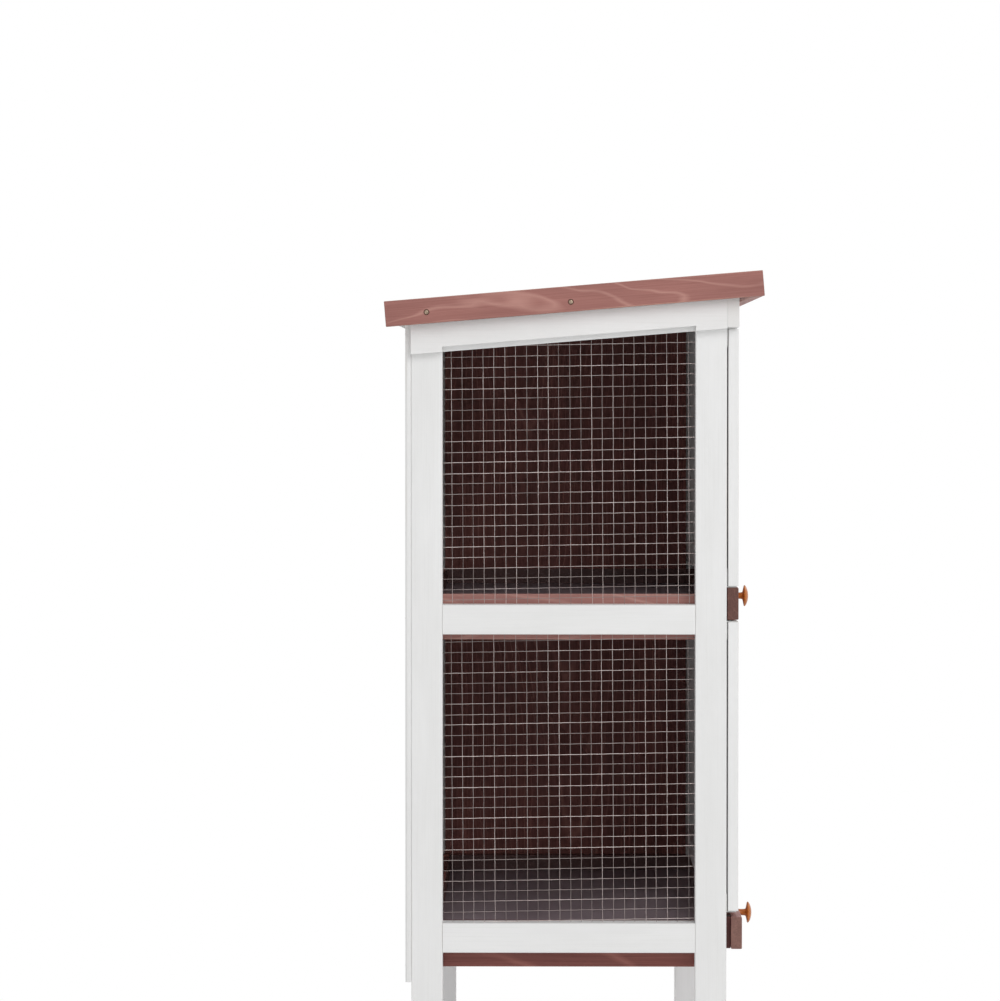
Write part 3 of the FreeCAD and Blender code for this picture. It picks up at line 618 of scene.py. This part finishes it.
def section_axes(normal):
    """Two directions square to a normal and to each other."""
    first = normal.cross(Z_AXIS if abs(normal.z) < 1 / 2 else X_AXIS).normalized()
    return first, normal.cross(first).normalized()


def add_points(solid, place, normal, polar_points, level):
    """New points at angles and distances round a normal, at a height over a place."""
    first, second = section_axes(normal)
    points = []
    for angle, reach in polar_points:
        flat = first * math.cos(angle) + second * math.sin(angle)
        points.append(solid.verts.new(place + flat * reach + normal * level))
    return points


def circle(radius, turn=0.0):
    """Angles and distances of the points round a fastener's head or its countersink."""
    return [(math.tau * side / HEAD_SIDES + turn, radius) for side in range(HEAD_SIDES)]


def join_rings(solid, lower, upper):
    """Faces between two rings of as many points."""
    for index in range(len(lower)):
        after = (index + 1) % len(lower)
        solid.faces.new((lower[index], lower[after], upper[after], upper[index]))


def ring_edges(solid, ring):
    """Edges round a ring of points, made where they are missing."""
    return [solid.edges.get(pair) or solid.edges.new(pair) for pair in zip(ring, ring[1:] + ring[:1])]


# Timber

def is_grooved(node):
    """Whether a node is a panel of grooved boards."""
    return node.endswith("_panel") and node != "lid_panel"


def edge_round(node):
    """Radius of a wooden node's edges; none where grooves or a rebate must stay as they are."""
    if node.endswith("_tray_front"):
        return TRAY_FRONT_ROUND
    if node.startswith("lid_") and node.endswith("_beam"):
        return LID_BEAM_ROUND
    if node == "left_top_rail" or is_grooved(node):
        return 0.0
    return TIMBER_ROUND


def fill_with_hull(solid):
    """Closes a cloud of points into its hull, and deletes the points inside it."""
    hull = bmesh.ops.convex_hull(solid, input=solid.verts)
    spare = hull["geom_interior"] + hull["geom_unused"]
    inside = {item for item in spare if isinstance(item, bmesh.types.BMVert)}
    bmesh.ops.delete(solid, geom=list(inside), context="VERTS")


def round_edges(solid, radius):
    """Rounds all the edges of a solid."""
    bmesh.ops.bevel(
        solid,
        geom=solid.edges[:],
        offset=radius,
        segments=ROUND_STEPS,
        profile=ROUND_PROFILE,
        affect="EDGES",
        clamp_overlap=True,
    )
    bmesh.ops.dissolve_degenerate(solid, dist=POINT_GRID, edges=solid.edges[:])


def shell_mesh(shell, radius):
    """Solid of one shell: its hull with rounded edges, or its exact faces where the radius is zero."""
    solid = bmesh.new()
    points = {point: None for face in shell for point in face}
    for point in points:
        points[point] = solid.verts.new(Vector(point) * POINT_GRID)
    if radius:
        fill_with_hull(solid)
    else:
        for face in shell:
            solid.faces.new([points[point] for point in face])
    bmesh.ops.dissolve_limit(
        solid, angle_limit=COPLANAR_ANGLE, verts=solid.verts[:], edges=solid.edges[:]
    )
    if radius:
        round_edges(solid, radius)
    return solid


def seat_panel(solid):
    """Lowers the bottom edge of a panel onto the runner below it, so that no daylight shows there."""
    bottom = min(vertex.co.z for vertex in solid.verts)
    for vertex in solid.verts:
        if vertex.co.z < bottom + PANEL_GAP:
            vertex.co.z -= PANEL_GAP


def cut_sinks(solid, spots):
    """Cuts countersinks for screws into one flat face of a length of wood."""
    normal = spots[0][1]
    rim_radius, floor_radius = SINK_RADII
    faces = [face for face in solid.faces if face.normal.dot(normal) > FLAT_FACE_COSINE]
    face = max(faces, key=lambda candidate: candidate.calc_area())
    surface = face.verts[0].co.dot(normal)
    edges = list(face.edges)
    solid.faces.remove(face)
    for place, _ in spots:
        center = place + normal * (surface - place.dot(normal))
        rim = add_points(solid, center, normal, circle(rim_radius), 0.0)
        floor = add_points(solid, center, normal, circle(floor_radius), -SINK_DEPTH)
        join_rings(solid, rim, floor)
        edges += ring_edges(solid, rim)
        solid.faces.new(floor)
    bmesh.ops.triangle_fill(solid, edges=edges, use_beauty=True, normal=normal)
    bmesh.ops.recalc_face_normals(solid, faces=solid.faces[:])


def in_a_sink(face, spots):
    """Whether a face belongs to one of the countersinks at the spots."""
    reach = 2 * SINK_RADII[0]
    return any(all((vertex.co - place).length < reach for vertex in face.verts) for place, _ in spots)


def timber_solid(node, shell):
    """One length of wood of a node, as it is worked before it is stained or painted."""
    solid = shell_mesh(shell, edge_round(node))
    if node == "right_upper_panel":
        seat_panel(solid)
    if node in sunk_screws:
        cut_sinks(solid, sunk_screws[node])
    solid.verts.index_update()
    solid.normal_update()
    return solid


def grain_of(points, axes, upright=False):
    """Direction of a length of wood, and its points along, across and through it from a made-up heart."""
    spans = []
    for axis in axes:
        reach = [point.dot(axis) for point in points]
        spans.append((max(reach) - min(reach), min(reach), axis))
    spans.sort(key=lambda span: (upright and span[2] != Z_AXIS, -span[0]))
    (_, along_low, along), (width, across_low, across), (depth, through_low, through) = spans
    along_heart = along_low - rng.uniform(-GRAIN_SHIFT, GRAIN_SHIFT)
    across_heart = across_low + width * (1 / 2 + rng.uniform(-HEART_WIDTH_SHARE, HEART_WIDTH_SHARE))
    side = rng.choice((-1, 1))
    through_heart = through_low + depth / 2 + side * (depth / 2 + rng.uniform(*HEART_DEPTH))
    hearts = ((along, along_heart), (across, across_heart), (through, through_heart))
    places = [tuple(point.dot(axis) - heart for axis, heart in hearts) for point in points]
    return along, places


def board_edges_of(places):
    """Places across a grooved panel where one of its boards ends and the next begins."""
    across = [place[1] for place in places]
    low = min(across) + PANEL_BOARD_WIDTH / 2
    high = max(across) - PANEL_BOARD_WIDTH / 2
    return spread(low, high, PANEL_BOARD_WIDTH)


def board_of(face, places, board_edges):
    """Number of the board of a grooved panel that a face lies on."""
    middle = sum(places[vertex.index][1] for vertex in face.verts) / len(face.verts)
    return sum(middle > edge for edge in board_edges)


def face_numbers(face, node, body, axes, along):
    """What the materials ask of a face: whether it is cut across the grain, its wear, which on the lid's beams
    also paints a highlight, and its coats, which on the right panels, the lower runners and the lower stops paint
    shade.
    """
    grooved = is_grooved(node)
    in_sink = node in sunk_screws and in_a_sink(face, sunk_screws[node])
    cut_across = in_sink or abs(face.normal.dot(along)) > END_GRAIN_COSINE
    slanted = max(abs(face.normal.dot(axis)) for axis in axes) < FLAT_FACE_COSINE
    # Stronger edge wear on the lid, which on its beams also paints a highlight
    wear = LID_EDGE_WEAR_AND_HIGHLIGHT if body == "lid" else 1.0
    # Darker coats on the right panels, the lower runners and the lower stops are painted shade
    coats_and_painted_shade = STAIN_COATS_AND_PAINTED_SHADE.get(node, 1.0)
    return {
        "end_grain": float(cut_across),
        "edge": wear * (slanted and not grooved and not in_sink),
        "coats_and_painted_shade": coats_and_painted_shade * GROOVE_COATS if slanted and grooved else coats_and_painted_shade,
    }


def dress_timber(node, body, slot):
    """Replaces a wooden CAD node by rounded lengths of wood that carry their own grain."""
    axes = (X_AXIS, LID_Y, LID_Z) if body == "lid" else (X_AXIS, Y_AXIS, Z_AXIS)
    grooved = is_grooved(node)
    vertices = []
    faces = []
    grain = []
    numbers = {"end_grain": [], "edge": [], "coats_and_painted_shade": []}
    for shell in closed_shells(frame["nodes"][node].data):
        solid = timber_solid(node, shell)
        first = len(vertices)
        points = [vertex.co.copy() for vertex in solid.verts]
        vertices += points
        along, places = grain_of(points, axes, grooved)
        board_edges = board_edges_of(places) if grooved else []
        for face in solid.faces:
            faces.append([first + vertex.index for vertex in face.verts])
            shift = BOARD_GRAIN_SHIFT * board_of(face, places, board_edges)
            for vertex in face.verts:
                length, across, through = places[vertex.index]
                grain.append((length + shift, across, through))
            for name, value in face_numbers(face, node, body, axes, along).items():
                numbers[name].append(value)
        solid.free()
    mesh = bpy.data.meshes.new(f"{node}_timber")
    mesh.from_pydata(vertices, [], faces)
    keep_grain(mesh, "CORNER", grain)
    for name, values in numbers.items():
        keep_numbers(mesh, name, values)
    smooth_shaded(mesh)
    piece = new_piece(f"{node}_timber", mesh, slot, body)
    piece.modifiers.new("flat_faces", "WEIGHTED_NORMAL").keep_sharp = True
    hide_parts(node)


# Welded mesh

def add_wire(vertices, faces, points, across, radius):
    """Adds a round wire through points; across holds the two directions of its section."""
    if across[0].cross(across[1]).dot(points[-1] - points[0]) < 0:
        across = across[::-1]
    offsets = []
    for side in range(WIRE_SIDES):
        angle = math.tau * side / WIRE_SIDES
        offsets.append((across[0] * math.cos(angle) + across[1] * math.sin(angle)) * radius)
    add_tube(vertices, faces, [[point + offset for offset in offsets] for point in points])
    faces.append(tuple(range(len(vertices) - WIRE_SIDES, len(vertices))))


def wavy(place, phase, bow, middle, span):
    """Small sideways departure of a wire from its straight line."""
    swing = 1 - ((place - middle) / span) ** 2
    return bow * swing + WIRE_RIPPLE * math.sin(math.pi * place / WIRE_PITCH + phase)


def upright_wires(low, high, bottom, top_edge):
    """Places across and heights along each upright wire, which leans and bows a little."""
    top = max(top_edge(low), top_edge(high))
    center = (bottom + top) / 2
    wires = []
    for place in spread(low + FIRST_WIRE_MARGIN, high - LAST_WIRE_MARGIN, WIRE_PITCH):
        phase = rng.uniform(0, math.tau)
        bow = rng.uniform(-WIRE_BOW, WIRE_BOW)
        wire = []
        for height in spread(bottom - WIRE_EMBED, top_edge(place) + WIRE_EMBED, WIRE_STEP):
            aside = WIRE_LEAN * (height - center) + wavy(height, phase, bow, center, top - bottom)
            wire.append((place + aside, height))
        wires.append(wire)
    return wires


def level_wires(low, high, bottom, top_edge, levels):
    """Places across and heights along each level wire, which slopes a little and ends in the frame."""
    first_level, level_pitch = levels
    top = max(top_edge(low), top_edge(high))
    middle = (low + high) / 2
    wires = []
    height = bottom + first_level - level_pitch
    while height < top + level_pitch:
        phase = rng.uniform(0, math.tau)
        bow = rng.uniform(-WIRE_BOW, WIRE_BOW)
        wire = []
        for place in spread(low - WIRE_EMBED, high + WIRE_EMBED, WIRE_STEP):
            level = height - WIRE_RISE * (place - middle) + wavy(place, phase, bow, middle, high - low)
            if bottom - WIRE_EMBED < level < top_edge(place) + WIRE_EMBED:
                wire.append((place, level))
        if len(wire) >= SHORTEST_WIRE:
            wires.append(wire)
        height += level_pitch
    return wires


def dress_mesh(node, body, across, outward, opening, top_edge, levels, level_outside):
    """Replaces a CAD mesh by round welded wires that wander a little, as rolled mesh does.

    opening is low and high along `across` and the height of the lower edge; top_edge gives the upper one.
    """
    depths = [corner.dot(outward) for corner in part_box(node)]
    weld_depth = sum(depths) / 2
    wire_radius = (max(depths) - min(depths)) / WIRE_LAYERS / 2
    upright_radius = UPRIGHT_WIRE_SHARE * wire_radius
    level_radius = LEVEL_WIRE_SHARE * wire_radius
    side = 1 if level_outside else -1
    uprights = upright_wires(*opening, top_edge)
    crosswise = level_wires(*opening, top_edge, levels)
    layers = (
        (uprights, across, upright_radius, weld_depth - side * upright_radius),
        (crosswise, Z_AXIS, level_radius, weld_depth + side * level_radius),
    )
    vertices = []
    faces = []
    shine = []
    for wires, sideways, radius, depth in layers:
        for wire in wires:
            points = [across * place + outward * depth + Z_AXIS * height for place, height in wire]
            add_wire(vertices, faces, points, (sideways, outward), radius)
            shine += [shine_rng.random()] * (len(faces) - len(shine))
    mesh = bpy.data.meshes.new(f"{node}_wires")
    mesh.from_pydata(vertices, [], faces)
    keep_numbers(mesh, "wire_shine", shine)
    smooth_shaded(mesh)
    piece = new_piece(f"{node}_wires", mesh, "wire", body)
    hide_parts(node)


def dress_side_meshes():
    """Round wires for the two openings of the left end."""
    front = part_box("left_front_leg")[1].y
    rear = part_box("left_rear_leg")[0].y
    top_rail_low, top_rail_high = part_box("left_top_rail")
    middle_rail_low, middle_rail_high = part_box("left_middle_rail")
    bottom_rail_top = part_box("left_bottom_rail")[1].z

    def under_top_rail(y):
        """Height of the sloping lower edge of the top rail."""
        return top_rail_low.z + (top_rail_high.y - y) * math.tan(LID_PITCH)

    def under_middle_rail(_):
        """Height of the lower edge of the middle rail, which is level."""
        return middle_rail_low.z

    openings = (
        ("left_upper_mesh", middle_rail_high.z, under_top_rail, UPPER_LEVELS),
        ("left_lower_mesh", bottom_rail_top, under_middle_rail, LOWER_LEVELS),
    )
    for node, bottom, top_edge, levels in openings:
        dress_mesh(node, "cage", Y_AXIS, -X_AXIS, (front, rear, bottom), top_edge, levels, True)


def dress_door_mesh(storey):
    """Round wires for one meshed door."""
    node = f"{storey}_left_door_mesh"
    low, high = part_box(node)
    top = high.z - CAD_WIRE_EMBED
    opening = (low.x + CAD_WIRE_EMBED, high.x - CAD_WIRE_EMBED, low.z + CAD_WIRE_EMBED)
    dress_mesh(node, f"{storey}_left_door", X_AXIS, -Y_AXIS, opening, lambda x: top, DOOR_LEVELS, False)


# Knobs

def knob_rings(foot, radius, projection):
    """Rings of points of one turned knob that stands out to the front from its foot."""
    rings = []
    for radius_share, reach_share in KNOB_PROFILE_SHARES:
        center = Vector((foot.x, foot.y - projection * reach_share, foot.z))
        ring = []
        for segment in range(KNOB_SEGMENTS):
            angle = math.tau * segment / KNOB_SEGMENTS
            offset = X_AXIS * math.cos(angle) + Z_AXIS * math.sin(angle)
            ring.append(center + offset * radius * radius_share)
        rings.append(ring)
    return rings


def dress_knobs(node, body):
    """Replaces the CAD knobs by turned ones with a waisted neck, a domed head and grain along the axis."""
    low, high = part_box(node)
    radius = (high.z - low.z) / 2
    axes = (X_AXIS, Y_AXIS * KNOB_GRAIN_STRETCH, Z_AXIS)
    vertices = []
    faces = []
    grain = []
    for center_x in (low.x + radius, high.x - radius):
        first = len(vertices)
        foot = Vector((center_x, high.y, (low.z + high.z) / 2))
        add_tube(vertices, faces, knob_rings(foot, radius, high.y - low.y))
        _, places = grain_of(vertices[first:], axes)
        grain += places
    mesh = bpy.data.meshes.new(f"{node}_turned")
    mesh.from_pydata(vertices, [], faces)
    keep_grain(mesh, "POINT", grain)
    solid = bmesh.new()
    solid.from_mesh(mesh)
    bmesh.ops.remove_doubles(solid, verts=solid.verts[:], dist=POINT_GRID)
    bmesh.ops.recalc_face_normals(solid, faces=solid.faces[:])
    solid.to_mesh(mesh)
    solid.free()
    smooth_shaded(mesh)
    piece = new_piece(f"{node}_turned", mesh, "knob_wood", body)
    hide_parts(node)


# Fasteners

def cross_outline(radius, turn):
    """Angles and distances of the corners of a cross recess in a head."""
    reach, half_width = (radius * share for share in RECESS_SHARES)
    tip = math.hypot(reach, half_width)
    tip_angle = math.atan2(half_width, reach)
    outline = []
    for arm in range(CROSS_ARMS):
        angle = arm * math.tau / CROSS_ARMS + turn
        corner = (angle + math.pi / CROSS_ARMS, math.hypot(half_width, half_width))
        outline += [(angle - tip_angle, tip), (angle + tip_angle, tip), corner]
    return outline


def add_head(solid, place, normal, head, crossed):
    """Adds a low domed fastener head on a surface, with a cross recess where it is a screw."""
    radius, height = head
    turn = rng.uniform(0, math.pi)
    rim = circle(radius, turn)
    foot = add_points(solid, place, normal, rim, -height)
    shoulder = add_points(solid, place, normal, rim, height * SHOULDER_SHARE)
    crown = add_points(solid, place, normal, circle(radius * CROWN_SHARE, turn), height)
    solid.faces.new(foot)
    join_rings(solid, foot, shoulder)
    join_rings(solid, shoulder, crown)
    if not crossed:
        solid.faces.new(crown)
        return
    outline = cross_outline(radius, turn)
    mouth = add_points(solid, place, normal, outline, height)
    floor = add_points(solid, place, normal, outline, height * (1 - RECESS_DEPTH_SHARE))
    edges = ring_edges(solid, crown) + ring_edges(solid, mouth)
    bmesh.ops.triangle_fill(solid, edges=edges, use_beauty=True)
    join_rings(solid, mouth, floor)
    solid.faces.new(floor)


def add_fasteners(name, body, slot, head, crossed, spots):
    """One piece of many heads; each spot is a place on a surface and the surface's normal."""
    solid = bmesh.new()
    for place, normal in spots:
        add_head(solid, place, normal, head, crossed)
    bmesh.ops.recalc_face_normals(solid, faces=solid.faces[:])
    mesh = bpy.data.meshes.new(name)
    solid.to_mesh(mesh)
    solid.free()
    smooth_shaded(mesh)
    return new_piece(name, mesh, slot, body)


lid_hinge = next(joint for joint in frame["joints"] if joint["name"] == "lid_hinge")
lid_pivot = Vector(lid_hinge["pos_m"])


def lid_point(x, along, height):
    """Point in the lid's own frame: along its slope from the hinge towards the front, and square to it."""
    return lid_pivot + X_AXIS * x - LID_Y * along + LID_Z * height


def lid_screws():
    """Places and directions of the sunk screws in each beam of the lid."""
    screws = {}
    for beam, sign in (("lid_left_beam", -1), ("lid_right_beam", 1)):
        x = sign * cad_box[1].x
        screws[beam] = [
            (lid_point(x, along, BEAM_MIDDLE - drop), X_AXIS * sign) for along, drop in BEAM_SCREWS
        ]
    screws["lid_front_beam"] = [
        (lid_point(x, FRONT_SCREW_REACH, BEAM_MIDDLE), -LID_Y)
        for x in spread(-FRONT_SCREW_END, FRONT_SCREW_END, FRONT_SCREW_SPACING)
    ]
    return screws


def sunk_heads(*beams):
    """Spots of the screw heads in the countersinks of the lid's beams."""
    spots = [spot for beam in beams for spot in sunk_screws[beam]]
    return [(place - normal * SINK_HEAD_DEPTH, normal) for place, normal in spots]


def felt_nail_spots():
    """Spots of the clout nails along the rear edge of the felt."""
    across = spread(-FELT_NAIL_END, FELT_NAIL_END, FELT_NAIL_SPACING)
    return [(lid_point(x, FELT_NAIL_REACH, FELT_TOP), LID_Z) for x in across]


def leaf_middles():
    """Places along X of the middles of the lid hinges."""
    low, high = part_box("lid_hinge_wall_leaves")
    return spread(low.x + LEAF_HALF_LENGTH, high.x - LEAF_HALF_LENGTH, LEAF_SPACING)


def leaf_screw_spots():
    """Spots of the screws in the wall leaves of the lid hinges."""
    plate_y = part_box("lid_hinge_wall_leaves")[0].y + LEAF_THICKNESS
    screw_z = lid_pivot.z - LEAF_SCREW_DROP
    return [
        (Vector((leaf_x + step * LEAF_SCREW_SPACING, plate_y, screw_z)), Y_AXIS)
        for leaf_x in leaf_middles()
        for step in (-1, 0, 1)
    ]


def back_nail_spots():
    """Spots of the nails that hold the back boards to the rear rails, with none under the hinges."""
    low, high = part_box("back_boards")
    board_count = len(closed_shells(frame["nodes"]["back_boards"].data))
    board_width = (high.x - low.x) / board_count
    spots = []
    for rail in ("rear_top_rail", "rear_middle_rail", "rear_bottom_rail"):
        rail_low, rail_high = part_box(rail)
        for board in range(board_count):
            for share in NAIL_SHARES:
                x = low.x + board_width * (board + share)
                under_leaf = any(abs(x - leaf_x) < LEAF_HALF_LENGTH for leaf_x in leaf_middles())
                if rail == "rear_top_rail" and under_leaf:
                    continue
                spots.append((Vector((x, high.y, (rail_low.z + rail_high.z) / 2)), Y_AXIS))
    return spots


def bracket_screw_spots():
    """Spots of the screws in the plates of the door brackets."""
    spots = []
    for shell in closed_shells(frame["nodes"]["door_pivot_brackets"].data):
        corners = [Vector(point) * POINT_GRID for face in shell for point in face]
        xs, ys, zs = zip(*corners)
        place = Vector(((min(xs) + max(xs)) / 2, max(ys) - BRACKET_PLATE, (min(zs) + max(zs)) / 2))
        spots.append((place, -Y_AXIS))
    return spots


def button_screw_spots():
    """Spots of the screws that the turn buttons turn on."""
    spots = []
    for storey in STOREYS:
        low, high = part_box(f"{storey}_turn_button")
        spots.append((Vector((0, low.y, (low.z + high.z) / 2)), -Y_AXIS))
    return spots


# Dressing of the cage

sunk_screws = lid_screws()
bodies = frame["record"]["behaviour"]["bodies"]
body_of = {node: body for body, members in bodies.items() for node in members}
slot_of = {node: piece.data.materials[0].name for node, piece in frame["nodes"].items()}

for node_name in sorted(frame["nodes"]):
    node_slot = slot_of[node_name]
    if node_slot in ("white_wood", "brown_wood"):
        dress_timber(node_name, body_of[node_name], node_slot)
    elif node_slot == "knob_wood":
        dress_knobs(node_name, body_of[node_name])
    else:
        # The tray walls take the darker sheet, which is painted shade
        is_wall = node_name.endswith("_tray_walls")
        frame["nodes"][node_name].data.materials[0] = painted_shade_wall_sheet if is_wall else materials[node_slot]

dress_side_meshes()
for storey_name in STOREYS:
    dress_door_mesh(storey_name)

side_heads = sunk_heads("lid_left_beam", "lid_right_beam")
add_fasteners("lid_beam_screws", "lid", "screw_steel", SCREW_HEAD, True, side_heads)
add_fasteners("lid_front_screws", "lid", "screw_steel", SCREW_HEAD, True, sunk_heads("lid_front_beam"))
add_fasteners("lid_hinge_screws", "cage", "hinge_metal", HINGE_SCREW_HEAD, True, leaf_screw_spots())
add_fasteners("back_board_nails", "cage", "screw_steel", NAIL_HEAD, False, back_nail_spots())
add_fasteners("felt_nails", "lid", "screw_steel", CLOUT_HEAD, False, felt_nail_spots())
add_fasteners("door_bracket_screws", "cage", "hinge_metal", SCREW_HEAD, True, bracket_screw_spots())
button_places = button_screw_spots()
button_screws = add_fasteners("turn_button_heads", "cage", "screw_steel", BUTTON_HEAD, True, button_places)
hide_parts("turn_button_screws")


# Studio

def camera_facing_ray(tree):
    """1 for rays that show the background: straight from the camera, mirrored or seen through glass."""
    path = add_node(tree, "ShaderNodeLightPath")
    seen = math_node(tree, "MAXIMUM", path.outputs["Is Camera Ray"], path.outputs["Is Glossy Ray"])
    return math_node(tree, "MAXIMUM", seen, path.outputs["Is Transmission Ray"])


def floor_paper():
    """Pale paper that fades to plain white away from the cage."""
    material, tree, shader = new_material("floor_paper")
    place = object_coordinates(tree)
    speckle = noise(tree, place, SMOOTH_NOISE, FLOOR_SPECKLE_SCALE)
    tree.links.new(mix_colors(tree, speckle, *FLOOR_COLORS), shader.inputs["Base Color"])
    shader.inputs["Roughness"].default_value = FLOOR_ROUGHNESS
    far = map_range(tree, vector_node(tree, "LENGTH", {0: place}, "Value"), FLOOR_FADE, FULL_SPAN)
    share = math_node(tree, "MULTIPLY", far, camera_facing_ray(tree))
    glow = add_node(tree, "ShaderNodeEmission", {}, {"Color": WHITE, "Strength": WHITE_STRENGTH})
    inputs = {0: share, 1: shader.outputs[0], 2: glow.outputs[0]}
    mixed = add_node(tree, "ShaderNodeMixShader", {}, inputs)
    tree.links.new(mixed.outputs[0], tree.nodes["Material Output"].inputs["Surface"])
    return material


def make_floor():
    """Pale floor that keeps the shadow of the cage."""
    solid = bmesh.new()
    bmesh.ops.create_circle(solid, cap_ends=True, segments=FLOOR_SIDES, radius=FLOOR_RADIUS)
    mesh = bpy.data.meshes.new("floor")
    solid.to_mesh(mesh)
    solid.free()
    mesh.materials.append(floor_paper())
    floor = bpy.data.objects.new("floor", mesh)
    bpy.context.scene.collection.objects.link(floor)


def make_world():
    """White to the camera and in reflections, softer as light on the cage."""
    world = bpy.data.worlds.new("studio")
    bpy.context.scene.world = world
    world.use_nodes = True
    tree = world.node_tree
    background = tree.nodes["Background"]
    strength = map_range(tree, camera_facing_ray(tree), FULL_SPAN, (AMBIENT, WHITE_STRENGTH))
    background.inputs["Color"].default_value = WHITE
    tree.links.new(strength, background.inputs["Strength"])


def aimed(name, data, place, target):
    """Places a lamp or a camera so that it looks at a target."""
    piece = bpy.data.objects.new(name, data)
    piece.location = place
    piece.rotation_euler = (Vector(target) - Vector(place)).to_track_quat("-Z", "Y").to_euler()
    bpy.context.scene.collection.objects.link(piece)
    return piece


def make_lamps():
    """Large soft lamps round the cage."""
    for name, place, size, power in LAMPS:
        lamp = bpy.data.lights.new(name, "AREA")
        lamp.shape = "DISK"
        lamp.size = size
        lamp.energy = power
        aimed(name, lamp, place, LAMP_TARGET)


def make_camera():
    """The photograph's camera."""
    lens = bpy.data.cameras.new("camera")
    lens.lens = LENS_MM
    lens.sensor_width = SENSOR_MM
    lens.sensor_fit = "HORIZONTAL"
    lens.clip_end = CAMERA_REACH
    bpy.context.scene.camera = aimed("camera", lens, CAMERA_PLACE, CAMERA_TARGET)


make_floor()
make_world()
make_lamps()
make_camera()
bpy.context.scene.view_settings.view_transform = "Standard"
